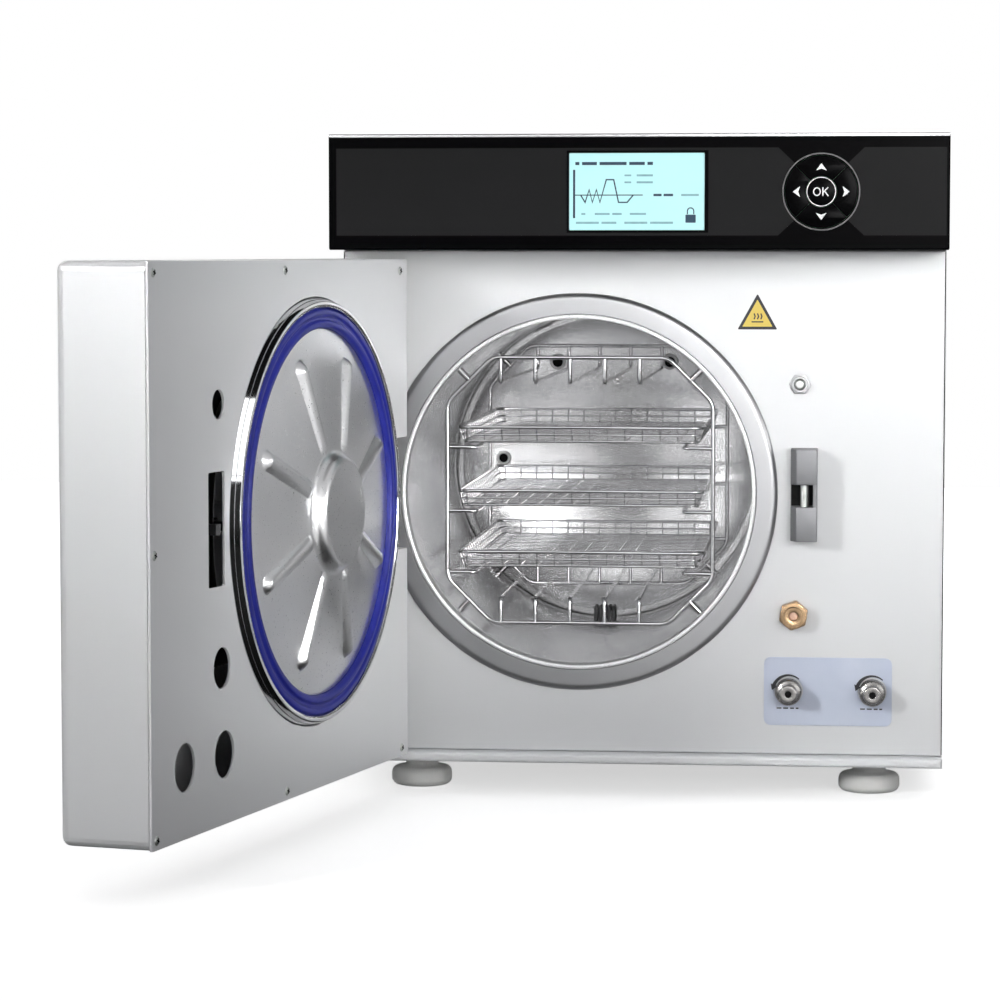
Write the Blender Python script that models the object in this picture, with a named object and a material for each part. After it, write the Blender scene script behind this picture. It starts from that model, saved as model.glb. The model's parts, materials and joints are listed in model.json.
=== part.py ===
"""Benchtop autoclave: a sheet-steel cabinet round a horizontal pressure chamber, with a side-hinged door.

Units are metres. X runs to the right across the front, Y from the front to the back, and Z up.
Every piece is given in cabinet coordinates with the door shut: X = 0 is the middle of the cabinet,
Y = 0 is the face of its front panel and Z = 0 is the bench. The door is then swung open on its hinge,
and the whole assembly is moved so that the middle of the floor area it covers is at the origin.
"""

import math

import bmesh
import bpy
from mathutils import Matrix, Vector

GAP = 0.0003  # between pieces that touch
STEPS = 20  # facets round a small turned piece
WIDE_STEPS = 36  # facets round the chamber's rings

# Cabinet
HALF_WIDTH = 0.216
DEPTH = 0.500
TOP = 0.474
BASE_BOTTOM = 0.024
BASE_TOP = 0.031
BASE_LIP = 0.013
SHEET = 0.0015
PANEL_SHEET = 0.002
COVER_RADIUS = 0.008

# Control head, which overhangs the door
HEAD_BOTTOM = 0.3937
HEAD_REACH = 0.072
FASCIA_WALL = 0.003
SCREEN_HALF = 0.0469
SCREEN_LOW = 0.4075
SCREEN_HIGH = 0.4608
KEYS_X = 0.1277
KEYS_Z = 0.4339
KEYS_RADIUS = 0.0252
OK_RADIUS = 0.0106
KEY_GAP = 0.0006

# Feet
FOOT_X = 0.1645
FOOT_Y = (0.040, 0.455)

# Chamber
AXIS_X = -0.0458
AXIS_Z = 0.2195
BORE = 0.125
WALL = 0.0026
STRAIGHT = 0.325  # where the bore ends and the dished end begins
DISH = 0.035
FLANGE_RADIUS = 0.1434
FLANGE_NECK = 0.1385
FLANGE_FACE = -0.004
FLANGE_BACK = 0.010

# Door, shut
DOOR_LEFT = -0.2159
DOOR_RIGHT = 0.2141
DOOR_LOW = 0.033
DOOR_HIGH = 0.3875
DOOR_FACE = -0.0115  # its inner face
DOOR_BACK = -0.0735  # its outer face
DOOR_WALL = 0.003
DOOR_OPEN = math.radians(103.6)
HINGE = Vector((-0.200, -0.043, 0.2195))
KNUCKLE = 0.009
HINGE_PIN = 0.005
LEAF_LOW = 0.184
LEAF_HIGH = 0.255
ARM_LOW = 0.2003
ARM_HIGH = 0.2397

# Door latch: the handle and the hook share one upright shaft
LATCH = Vector((0.158, -0.062, 0.2195))
LATCH_SHAFT = 0.003

# Lid on the door
LID_RADIUS = 0.1425
LID_FACE = -0.0085
SEAL_INNER = 0.1224
SEAL_OUTER = 0.1360
BOSS_RADIUS = 0.037
BOSS_FACE = 0.0105
DOME_FACE = 0.0020  # where the dome meets the boss
DOME_WALL = 0.0055
LID_HUB = -0.0134  # back of the hub that the spindle bears on

# Front fittings
LOCK_LEFT, LOCK_RIGHT = 0.107, 0.126
LOCK_LOW, LOCK_HIGH = 0.187, 0.2525
LOCK_FACE = -0.025
LOCK_WINDOW = (0.2116, 0.2274)
LOCK_WINDOW_RIGHT = 0.123
BOLT = Vector((0.117, -0.0185, 0.200))
BOLT_RADIUS = 0.003
BOLT_LENGTH = 0.0385
BOLT_TRAVEL = 0.006
SWITCH_X, SWITCH_Z = 0.113, 0.298
FITTING_X, FITTING_Z = 0.1095, 0.1325
VALVES_X = (0.1062, 0.1660)
VALVES_Z = 0.0775
VALVE_RADIUS = 0.0095

# Rack and trays
RACK_HALF = 0.0965
RACK_CHAMFER = 0.0325
RACK_FRONT = 0.014
RACK_BACK = 0.316
WIRE = 0.0016
RAIL_INSET = 0.021
RAILS_Z = (0.2508, 0.2044, 0.1598)
TRAY_HALF = 0.0905
TRAY_LENGTH = 0.290
TRAY_HEIGHT = 0.0134
TRAY_SHEET = 0.0012
DIVIDERS = 5
DIVIDER_PITCH = 0.0252
DIVIDER_FIRST = -0.0575
DIVIDER_DROP = 0.018

# Rear
FAN_X, FAN_Z = -0.100, 0.300
FAN_HALF = 0.046
FAN_BORE = 0.0435
RELIEF_X, RELIEF_Z = 0.040, 0.360
INLET_X, INLET_LOW, INLET_HIGH = 0.145, 0.055, 0.125
ROCKER = Vector((INLET_X, 0.5000, 0.107))

# Water tanks and their lid
TANK_LOW, TANK_HIGH = 0.372, 0.460
TANK_FRONT, TANK_BACK = 0.150, 0.480
TANK_WALL = 0.0025
HATCH_HALF = 0.130
HATCH_FRONT, HATCH_BACK = 0.200, 0.420
LID_LAP = 0.008
LID_SHEET = 0.003
TANK_LID_HINGE = Vector((0.0, 0.4300, 0.4785))

COLOURS = {  # colour, roughness, metallic
    "white_paint": ((0.80, 0.81, 0.82), 0.40, 0.0),
    "cream_plastic": ((0.84, 0.84, 0.82), 0.45, 0.0),
    "black_gloss": ((0.012, 0.012, 0.014), 0.12, 0.0),
    "screen_glass": ((0.55, 0.85, 0.88), 0.15, 0.0),
    "rubber_white": ((0.82, 0.82, 0.80), 0.60, 0.0),
    "polished_steel": ((0.72, 0.73, 0.75), 0.12, 1.0),
    "satin_steel": ((0.60, 0.61, 0.63), 0.32, 1.0),
    "zinc_steel": ((0.50, 0.52, 0.50), 0.45, 1.0),
    "olive_steel": ((0.34, 0.34, 0.28), 0.40, 1.0),
    "brass": ((0.72, 0.55, 0.26), 0.25, 1.0),
    "blue_silicone": ((0.035, 0.050, 0.42), 0.42, 0.0),
    "mineral_wool": ((0.66, 0.62, 0.50), 0.95, 0.0),
    "dark_plastic": ((0.05, 0.05, 0.055), 0.45, 0.0),
    "clear_tank": ((0.80, 0.86, 0.88), 0.30, 0.0),
    "board_green": ((0.03, 0.20, 0.08), 0.40, 0.0),
    "aluminium": ((0.75, 0.76, 0.77), 0.35, 1.0),
    "pale_blue": ((0.58, 0.62, 0.76), 0.40, 0.0),
    "red_plastic": ((0.60, 0.04, 0.03), 0.35, 0.0),
}


# Scene and materials


def clear_scene():
    for obj in list(bpy.data.objects):
        bpy.data.objects.remove(obj, do_unlink=True)


def make_material(name):
    colour, roughness, metallic = COLOURS[name]
    material = bpy.data.materials.new(name)
    material.use_nodes = True
    shader = material.node_tree.nodes["Principled BSDF"]
    shader.inputs["Base Color"].default_value = (*colour, 1.0)
    shader.inputs["Roughness"].default_value = roughness
    shader.inputs["Metallic"].default_value = metallic
    material.diffuse_color = (*colour, 1.0)
    return material


# Shapes. Each adds a closed solid to a bmesh, in cabinet coordinates.


def add_box(bm, low, high, bevel=0.0, bevel_steps=2):
    """A box between two corners, with every edge rounded if bevel is set."""
    low, high = Vector(low), Vector(high)
    place = Matrix.Translation((low + high) / 2) @ Matrix.Diagonal((*(high - low), 1.0))
    made = bmesh.ops.create_cube(bm, size=1.0, matrix=place)["verts"]
    if bevel:
        edges = list({edge for vert in made for edge in vert.link_edges})
        bmesh.ops.bevel(
            bm,
            geom=edges,
            offset=bevel,
            segments=bevel_steps,
            profile=0.5,
            affect="EDGES",
        )


def add_prism(bm, outline, start, end, along="Y"):
    """An outline pushed along one axis. Its points are the two other coordinates, in X, Y, Z order."""
    corner = {
        "X": lambda a, b, t: (t, a, b),
        "Y": lambda a, b, t: (a, t, b),
        "Z": lambda a, b, t: (a, b, t),
    }[along]
    face = bm.faces.new([bm.verts.new(corner(a, b, start)) for a, b in outline])
    pushed = bmesh.ops.extrude_face_region(bm, geom=[face])["geom"]
    moved = [item for item in pushed if isinstance(item, bmesh.types.BMVert)]
    bmesh.ops.translate(bm, verts=moved, vec=Vector(corner(0, 0, end - start)))


def add_turned(bm, profile, centre, along="Y", steps=STEPS, ring=False):
    """A profile of (radius, distance) points turned about an axis. A ring's profile closes on itself."""
    before = len(bm.verts)
    points = [bm.verts.new((radius, 0.0, distance)) for radius, distance in profile]
    ends = points[1:] + points[:1] if ring else points[1:]
    edges = [bm.edges.new(pair) for pair in zip(points, ends)]
    bmesh.ops.spin(
        bm,
        geom=points + edges,
        cent=(0, 0, 0),
        axis=(0, 0, 1),
        angle=2 * math.pi,
        steps=steps,
        use_merge=True,
    )
    bm.verts.ensure_lookup_table()
    turn = {
        "X": Matrix.Rotation(math.pi / 2, 4, "Y"),
        "Y": Matrix.Rotation(-math.pi / 2, 4, "X"),
        "Z": Matrix.Identity(4),
    }[along]
    bmesh.ops.transform(bm, matrix=Matrix.Translation(centre) @ turn, verts=bm.verts[before:])


def add_rod(bm, radius, start, end, centre, along="Y", steps=STEPS):
    """A plain cylinder along an axis, from start to end on that axis."""
    profile = [(0, start), (radius, start), (radius, end), (0, end)]
    flat = Vector(centre)
    flat["XYZ".index(along)] = 0.0
    add_turned(bm, profile, flat, along, steps)


def add_tube(bm, inner, outer, start, end, centre, along="Y", steps=STEPS):
    """A plain ring between two radii, from start to end on the axis."""
    profile = [(inner, start), (outer, start), (outer, end), (inner, end)]
    flat = Vector(centre)
    flat["XYZ".index(along)] = 0.0
    add_turned(bm, profile, flat, along, steps, ring=True)


def add_wire(bm, points, radius=WIRE, sides=5, closed=False):
    """A round wire along straight runs, mitred where they meet."""
    points = [Vector(point) for point in points]
    count = len(points)
    rings = []
    for index, point in enumerate(points):
        ahead = points[(index + 1) % count] - point
        behind = point - points[index - 1]
        if not closed and index == 0:
            behind = ahead
        if not closed and index == count - 1:
            ahead = behind
        ahead, behind = ahead.normalized(), behind.normalized()
        bend = (ahead + behind).normalized()
        upright = behind.orthogonal().normalized() if not rings else upright
        upright = (upright - behind * upright.dot(behind)).normalized()
        across = behind.cross(upright)
        ring = []
        for side in range(sides):
            angle = 2 * math.pi * side / sides
            spoke = (upright * math.cos(angle) + across * math.sin(angle)) * radius
            ring.append(bm.verts.new(point + spoke - behind * (spoke.dot(bend) / behind.dot(bend))))
        rings.append(ring)
        upright = (upright - ahead * upright.dot(ahead)).normalized()
    pairs = list(zip(rings, rings[1:]))
    if closed:
        pairs.append((rings[-1], rings[0]))
    else:
        bm.faces.new(rings[0])
        bm.faces.new(rings[-1])
    for first, second in pairs:
        for side in range(sides):
            after = (side + 1) % sides
            bm.faces.new((first[side], first[after], second[after], second[side]))


def arc(centre, radius, start, end, steps):
    """Points on part of a circle in a plane, with its angles in degrees."""
    angles = [math.radians(start + (end - start) * step / steps) for step in range(steps + 1)]
    return [(centre[0] + radius * math.cos(a), centre[1] + radius * math.sin(a)) for a in angles]


# Objects


def add_empty(name, place, parent=None):
    """An empty on a joint's axis. place is in cabinet coordinates."""
    empty = bpy.data.objects.new(name, None)
    empty.empty_display_size = 0.03
    empty["place"] = tuple(place)
    empty.parent = parent
    empty.location = Vector(place) - Vector(parent["place"] if parent else (0, 0, 0))
    bpy.context.collection.objects.link(empty)
    return empty


def make_object(name, bm, parent, pivot=None):
    """An object of the shapes in bm, under parent, with its origin at pivot or at its parent's."""
    bmesh.ops.remove_doubles(bm, verts=bm.verts, dist=1e-7)
    bmesh.ops.recalc_face_normals(bm, faces=bm.faces)
    base = Vector(parent["place"])
    pivot = base if pivot is None else Vector(pivot)
    mesh = bpy.data.meshes.new(name)
    bm.to_mesh(mesh)
    bm.free()
    mesh.transform(Matrix.Translation(-pivot))
    obj = bpy.data.objects.new(name, mesh)
    obj.parent = parent
    obj.location = pivot - base
    bpy.context.collection.objects.link(obj)
    return obj


def add_node(name, bm, material, parent, pivot=None):
    """A piece of the autoclave, shaded smooth across its rounded faces."""
    obj = make_object(name, bm, parent, pivot)
    obj.data.materials.append(MATERIALS[material])
    obj.data.shade_smooth()
    obj.data.set_sharp_from_angle(angle=math.radians(35))
    return obj


def boolean(obj, bm, operation):
    """Cuts the shapes in bm from an object, or joins them to it."""
    name = f"{obj.name}_{operation.lower()}_{len(obj.modifiers)}"
    pivot = Vector(obj.parent["place"]) + obj.location
    tool = make_object(name, bm, obj.parent, pivot)
    tool.hide_render = True
    tool.display_type = "WIRE"
    modifier = obj.modifiers.new(name, "BOOLEAN")
    modifier.operation = operation
    modifier.object = tool
    modifier.solver = "EXACT"


# Cabinet


def build_cabinet(root):
    side_low = BASE_TOP + GAP
    head_front = -HEAD_REACH + FASCIA_WALL + 0.0005

    bm = bmesh.new()
    inner = HALF_WIDTH - SHEET
    inner_top = TOP - SHEET
    inner_radius = COVER_RADIUS - SHEET
    outside = [(HALF_WIDTH, side_low)]
    outside += arc((HALF_WIDTH - COVER_RADIUS, TOP - COVER_RADIUS), COVER_RADIUS, 0, 90, 5)
    outside += arc((COVER_RADIUS - HALF_WIDTH, TOP - COVER_RADIUS), COVER_RADIUS, 90, 180, 5)
    outside += [(-HALF_WIDTH, side_low), (-inner, side_low)]
    corner = (inner - inner_radius, inner_top - inner_radius)
    outside += arc((-corner[0], corner[1]), inner_radius, 180, 90, 5)
    outside += arc(corner, inner_radius, 90, 0, 5)
    outside += [(inner, side_low)]
    add_prism(bm, outside, head_front, DEPTH)
    cover = add_node("outer_cover", bm, "white_paint", root)
    bm = bmesh.new()
    add_box(bm, (-0.3, -0.1, 0.0), (0.3, PANEL_SHEET + GAP, HEAD_BOTTOM))
    add_box(bm, (-HATCH_HALF, HATCH_FRONT, TOP - 0.01), (HATCH_HALF, HATCH_BACK, TOP + 0.01))
    boolean(cover, bm, "DIFFERENCE")

    bm = bmesh.new()
    add_box(bm, (-HALF_WIDTH, 0, side_low), (HALF_WIDTH, PANEL_SHEET, HEAD_BOTTOM - GAP))
    front = [edge for edge in bm.edges if all(vert.co.y < PANEL_SHEET / 2 for vert in edge.verts)]
    bmesh.ops.bevel(bm, geom=front, offset=0.0012, segments=3, profile=0.5, affect="EDGES")
    panel = add_node("front_panel", bm, "white_paint", root)
    bm = bmesh.new()
    add_rod(bm, FLANGE_NECK + 0.0005, -0.01, 0.01, (AXIS_X, 0, AXIS_Z), steps=WIDE_STEPS)
    add_rod(bm, 0.0042, -0.01, 0.01, (SWITCH_X, 0, SWITCH_Z), steps=16)
    boolean(panel, bm, "DIFFERENCE")

    bm = bmesh.new()
    add_box(bm, (-HALF_WIDTH, -BASE_LIP, BASE_BOTTOM), (HALF_WIDTH, DEPTH, BASE_TOP))
    lip = [edge for edge in bm.edges if all(vert.co.y < 0 for vert in edge.verts)]
    bmesh.ops.bevel(bm, geom=lip, offset=0.0022, segments=3, profile=0.5, affect="EDGES")
    pan = add_node("base_pan", bm, "white_paint", root)
    bm = bmesh.new()
    add_box(
        bm,
        (PANEL_SHEET - HALF_WIDTH, PANEL_SHEET, BASE_BOTTOM + PANEL_SHEET),
        (HALF_WIDTH - PANEL_SHEET, DEPTH - PANEL_SHEET, BASE_TOP + 0.01),
    )
    boolean(pan, bm, "DIFFERENCE")

    profile = [(0, 0), (0.0195, 0), (0.0222, 0.0025), (0.0222, 0.0105), (0.0205, 0.0132), (0.0125, 0.0142)]
    profile += [(0.0115, BASE_BOTTOM - GAP), (0, BASE_BOTTOM - GAP)]
    for row, y in zip(("front", "rear"), FOOT_Y):
        for side, x in (("left", -FOOT_X), ("right", FOOT_X)):
            bm = bmesh.new()
            add_turned(bm, profile, (x, y, 0), "Z", 20)
            add_node(f"foot_{row}_{side}", bm, "rubber_white", root)


def build_rear(root):
    back = DEPTH - 0.002
    front = back - SHEET
    bm = bmesh.new()
    edge = HALF_WIDTH - SHEET - GAP
    add_box(bm, (-edge, front, BASE_TOP + GAP), (edge, back, TOP - COVER_RADIUS))
    panel = add_node("rear_panel", bm, "white_paint", root)
    bm = bmesh.new()
    add_rod(bm, FAN_BORE - 0.001, 0.48, 0.52, (FAN_X, 0, FAN_Z))
    add_rod(bm, 0.0095, 0.48, 0.52, (RELIEF_X, 0, RELIEF_Z), steps=16)
    add_box(bm, (INLET_X - 0.0245, 0.48, INLET_LOW), (INLET_X + 0.0245, 0.52, INLET_HIGH))
    for column in (-0.165, -0.100, 0.145):
        for row in range(7):
            z = 0.085 + 0.012 * row + (0.12 if column > 0 else 0)
            add_box(bm, (column - 0.026, 0.48, z), (column + 0.026, 0.52, z + 0.005))
    boolean(panel, bm, "DIFFERENCE")

    # Cooling fan: frame, rotor and the guard outside the rear panel.
    fan_back = front - GAP
    fan_front = fan_back - 0.025
    centre = (FAN_X, 0, FAN_Z)
    bm = bmesh.new()
    low = (FAN_X - FAN_HALF, fan_front, FAN_Z - FAN_HALF)
    high = (FAN_X + FAN_HALF, fan_back, FAN_Z + FAN_HALF)
    add_box(bm, low, high)
    frame = add_node("fan_frame", bm, "dark_plastic", root)
    bm = bmesh.new()
    add_rod(bm, FAN_BORE, fan_front - 0.01, fan_back + 0.01, centre)
    boolean(frame, bm, "DIFFERENCE")
    bm = bmesh.new()
    add_box(bm, (FAN_X - 0.0445, fan_front, FAN_Z - 0.003), (FAN_X + 0.0445, fan_front + 0.003, FAN_Z + 0.003))
    boolean(frame, bm, "UNION")
    bm = bmesh.new()
    add_box(bm, (FAN_X - 0.003, fan_front, FAN_Z - 0.0445), (FAN_X + 0.003, fan_front + 0.003, FAN_Z + 0.0445))
    boolean(frame, bm, "UNION")
    bm = bmesh.new()
    add_rod(bm, 0.0175, fan_front, fan_front + 0.0035, centre, steps=24)
    boolean(frame, bm, "UNION")

    spindle = add_empty("fan_axis", (FAN_X, fan_front + 0.012, FAN_Z), root)
    bm = bmesh.new()
    add_rod(bm, 0.0172, fan_front + 0.0045, fan_back - 0.002, centre, steps=24)
    rotor = add_node("fan_rotor", bm, "dark_plastic", spindle)
    bm = bmesh.new()
    for blade in range(7):
        turn = Matrix.Rotation(2 * math.pi * blade / 7, 4, "Y")
        out = Matrix.Translation((0.0285, 0, 0))
        place = Matrix.Translation((FAN_X, (fan_front + fan_back) / 2 + 0.001, FAN_Z))
        size = Matrix.Diagonal((0.0255, 0.0016, 0.018, 1.0))
        lean = Matrix.Rotation(math.radians(38), 4, "X")
        bmesh.ops.create_cube(bm, size=1.0, matrix=place @ turn @ out @ lean @ size)
    boolean(rotor, bm, "UNION")

    guard_y = back + GAP + 0.0012
    bm = bmesh.new()
    for radius in (0.044, 0.031, 0.018):
        hoop = arc((FAN_X, FAN_Z), radius, 0, 360, 16)[:-1]
        add_wire(bm, [(x, guard_y, z) for x, z in hoop], 0.0012, 4, closed=True)
    guard = add_node("fan_guard", bm, "satin_steel", root)
    for angle in (45, 135):
        dx = 0.0615 * math.cos(math.radians(angle))
        dz = 0.0615 * math.sin(math.radians(angle))
        bm = bmesh.new()
        y = guard_y + 0.0009
        add_wire(bm, [(FAN_X - dx, y, FAN_Z - dz), (FAN_X + dx, y, FAN_Z + dz)], 0.0014, 4)
        boolean(guard, bm, "UNION")

    # Mains inlet with its rocker switch above the socket.
    bm = bmesh.new()
    half = 0.0242
    add_box(bm, (INLET_X - half, 0.470, INLET_LOW + GAP), (INLET_X + half, back + 0.001, INLET_HIGH - GAP))
    inlet = add_node("mains_inlet", bm, "dark_plastic", root)
    bm = bmesh.new()
    add_box(bm, (INLET_X - 0.028, back + GAP, INLET_LOW - 0.004), (INLET_X + 0.028, back + 0.003, INLET_HIGH + 0.004))
    boolean(inlet, bm, "UNION")
    bm = bmesh.new()
    socket = [(-0.0125, 0.064), (0.0125, 0.064), (0.0125, 0.0765), (0.0085, 0.0805), (-0.0085, 0.0805)]
    socket += [(-0.0125, 0.0765)]
    add_prism(bm, [(INLET_X + x, z) for x, z in socket], back - 0.015, back + 0.01)
    add_box(bm, (INLET_X - 0.0125, 0.484, 0.0935), (INLET_X + 0.0125, 0.51, 0.1205))
    boolean(inlet, bm, "DIFFERENCE")

    rocker_axis = add_empty("rocker_axis", ROCKER, root)
    bm = bmesh.new()
    bend = [(0.4985, 0.0960), (0.5035, 0.0950), (0.5018, 0.1070), (0.5018, 0.1190), (0.4985, 0.1180)]
    bend += [(0.4925, 0.1100), (0.4925, 0.1040)]
    add_prism(bm, bend, INLET_X - 0.0120, INLET_X + 0.0120, "X")
    add_node("mains_rocker", bm, "red_plastic", rocker_axis)

    # Pressure relief valve, whose knurled knob is pulled to test it.
    centre = (RELIEF_X, 0, RELIEF_Z)
    bm = bmesh.new()
    add_tube(bm, 0.0032, 0.0090, 0.452, 0.512, centre, steps=16)
    relief = add_node("relief_valve", bm, "brass", root)
    bm = bmesh.new()
    add_tube(bm, 0.0080, 0.0135, back + GAP, back + 0.0063, centre, steps=6)
    boolean(relief, bm, "UNION")
    pull = add_empty("relief_axis", (RELIEF_X, 0.5125, RELIEF_Z), root)
    bm = bmesh.new()
    profile = [(0, 0.470), (0.0028, 0.470), (0.0028, 0.5125), (0.0115, 0.5125), (0.0125, 0.5140)]
    profile += [(0.0125, 0.5250), (0.0105, 0.5270), (0, 0.5270)]
    add_turned(bm, profile, centre, "Y", 20)
    add_node("relief_knob", bm, "brass", pull)


def build_head(root):
    face = -HEAD_REACH
    bm = bmesh.new()
    add_box(bm, (-HALF_WIDTH, face, HEAD_BOTTOM), (HALF_WIDTH, face + FASCIA_WALL, TOP), 0.0013, 3)
    fascia = add_node("control_fascia", bm, "black_gloss", root)
    bm = bmesh.new()
    wide = HALF_WIDTH - SHEET - GAP
    add_box(bm, (-wide, face + 0.0015, HEAD_BOTTOM), (wide, -GAP, TOP - COVER_RADIUS))
    boolean(fascia, bm, "UNION")
    bm = bmesh.new()
    hollow = wide - 0.0025
    high = TOP - COVER_RADIUS - 0.0025
    add_box(bm, (-hollow, face + FASCIA_WALL, HEAD_BOTTOM + 0.0025), (hollow, 0.01, high))
    add_box(
        bm,
        (-SCREEN_HALF - GAP, face - 0.01, SCREEN_LOW - GAP),
        (SCREEN_HALF + GAP, face + FASCIA_WALL - 0.0002, SCREEN_HIGH + GAP),
    )
    add_rod(bm, KEYS_RADIUS, face - 0.01, face + FASCIA_WALL - 0.0002, (KEYS_X, 0, KEYS_Z), steps=WIDE_STEPS)
    boolean(fascia, bm, "DIFFERENCE")
    bm = bmesh.new()
    add_box(
        bm,
        (-SCREEN_HALF - GAP, face + 0.001, SCREEN_LOW - GAP),
        (SCREEN_HALF + GAP, face + FASCIA_WALL + 0.001, SCREEN_HIGH + GAP),
    )
    add_rod(bm, KEYS_RADIUS, face + 0.001, face + FASCIA_WALL + 0.001, (KEYS_X, 0, KEYS_Z), steps=WIDE_STEPS)
    boolean(fascia, bm, "DIFFERENCE")

    bm = bmesh.new()
    add_box(bm, (-SCREEN_HALF, face + 0.0004, SCREEN_LOW), (SCREEN_HALF, face + 0.008, SCREEN_HIGH))
    add_node("display_module", bm, "screen_glass", root)

    bm = bmesh.new()
    add_box(bm, (-0.080, face + 0.0090, 0.4000), (0.165, face + 0.0106, 0.4620))
    board = add_node("control_board", bm, "board_green", root)
    bm = bmesh.new()
    add_box(bm, (-0.060, face + 0.0100, 0.4100), (-0.030, face + 0.0300, 0.4500))
    add_box(bm, (0.000, face + 0.0100, 0.4150), (0.060, face + 0.0160, 0.4450))
    add_box(bm, (0.080, face + 0.0100, 0.4050), (0.150, face + 0.0220, 0.4200))
    boolean(board, bm, "UNION")

    key_back = face + 0.0080
    key_face = face - 0.0002
    inside = OK_RADIUS + KEY_GAP
    outside = KEYS_RADIUS - KEY_GAP
    for turn, name in enumerate(("right", "up", "left", "down")):
        middle = 90 * turn
        place = (KEYS_X, face, KEYS_Z)
        axis = add_empty(f"arrow_key_{name}_axis", place, root)
        centre = (KEYS_X, KEYS_Z)
        slack = math.degrees(KEY_GAP / 2 / inside)
        outline = arc(centre, outside, middle - 45 + slack / 2, middle + 45 - slack / 2, 8)
        outline += arc(centre, inside, middle + 45 - slack, middle - 45 + slack, 4)
        bm = bmesh.new()
        add_prism(bm, outline, key_face, key_back)
        add_node(f"arrow_key_{name}", bm, "black_gloss", axis)
    axis = add_empty("ok_key_axis", (KEYS_X, face, KEYS_Z), root)
    bm = bmesh.new()
    add_rod(bm, OK_RADIUS, key_face, key_back, (KEYS_X, 0, KEYS_Z), steps=24)
    add_node("ok_key", bm, "black_gloss", axis)


# Chamber and what surrounds it


def build_chamber(root):
    centre = (AXIS_X, 0, AXIS_Z)
    inner = [(BORE * x, STRAIGHT + DISH * y) for x, y in arc((0, 0), 1, 90, 0, 5)]
    inner[0] = (0, inner[0][1])
    outer = [((BORE + WALL) * x, STRAIGHT + (DISH + WALL) * y) for x, y in arc((0, 0), 1, 0, 90, 5)]
    outer[-1] = (0, outer[-1][1])
    mouth = FLANGE_BACK + GAP
    bm = bmesh.new()
    add_turned(bm, inner + [(BORE, mouth), (BORE + WALL, mouth)] + outer, centre, "Y", WIDE_STEPS)
    add_node("chamber", bm, "polished_steel", root)

    bm = bmesh.new()
    profile = [(BORE, FLANGE_BACK), (BORE, FLANGE_FACE + 0.0016), (BORE + 0.0016, FLANGE_FACE)]
    profile += [(FLANGE_RADIUS - 0.0042, FLANGE_FACE), (FLANGE_RADIUS - 0.0010, FLANGE_FACE + 0.0014)]
    profile += [(FLANGE_RADIUS, -GAP), (FLANGE_NECK, -GAP), (FLANGE_NECK, FLANGE_BACK)]
    add_turned(bm, profile, centre, "Y", WIDE_STEPS, ring=True)
    add_node("chamber_flange", bm, "polished_steel", root)

    heater_inner = BORE + WALL + GAP
    heater_outer = heater_inner + 0.0024
    bm = bmesh.new()
    add_tube(bm, heater_inner, heater_outer, 0.060, 0.270, centre, steps=WIDE_STEPS)
    band = add_node("heater_band", bm, "satin_steel", root)
    bm = bmesh.new()
    add_box(bm, (AXIS_X - 0.004, 0.05, AXIS_Z + 0.1), (AXIS_X + 0.004, 0.28, AXIS_Z + 0.15))
    boolean(band, bm, "DIFFERENCE")

    jacket_outer = 0.1475
    bm = bmesh.new()
    add_tube(bm, heater_outer + GAP, jacket_outer, 0.020, 0.318, centre, steps=WIDE_STEPS)
    add_node("insulation_jacket", bm, "mineral_wool", root)

    floor = BASE_BOTTOM + PANEL_SHEET + GAP
    bm = bmesh.new()
    add_box(bm, (AXIS_X - 0.095, 0.040, floor), (AXIS_X + 0.095, 0.300, floor + 0.002))
    cradle = add_node("chamber_cradle", bm, "zinc_steel", root)
    bm = bmesh.new()
    for y in (0.040, 0.2975):
        add_box(bm, (AXIS_X - 0.095, y, floor + 0.001), (AXIS_X + 0.095, y + 0.0025, 0.130))
    boolean(cradle, bm, "UNION")
    bm = bmesh.new()
    add_rod(bm, jacket_outer + 0.0008, 0.01, 0.35, centre, steps=WIDE_STEPS)
    boolean(cradle, bm, "DIFFERENCE")

    # Strainer over the drain, on the chamber floor at the back.
    bm = bmesh.new()
    low = AXIS_Z - math.sqrt(BORE**2 - 0.009**2) + 0.0006
    add_box(bm, (AXIS_X - 0.009, 0.278, low), (AXIS_X + 0.009, 0.296, low + 0.0125), 0.0015)
    add_node("drain_strainer", bm, "zinc_steel", root)


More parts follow.
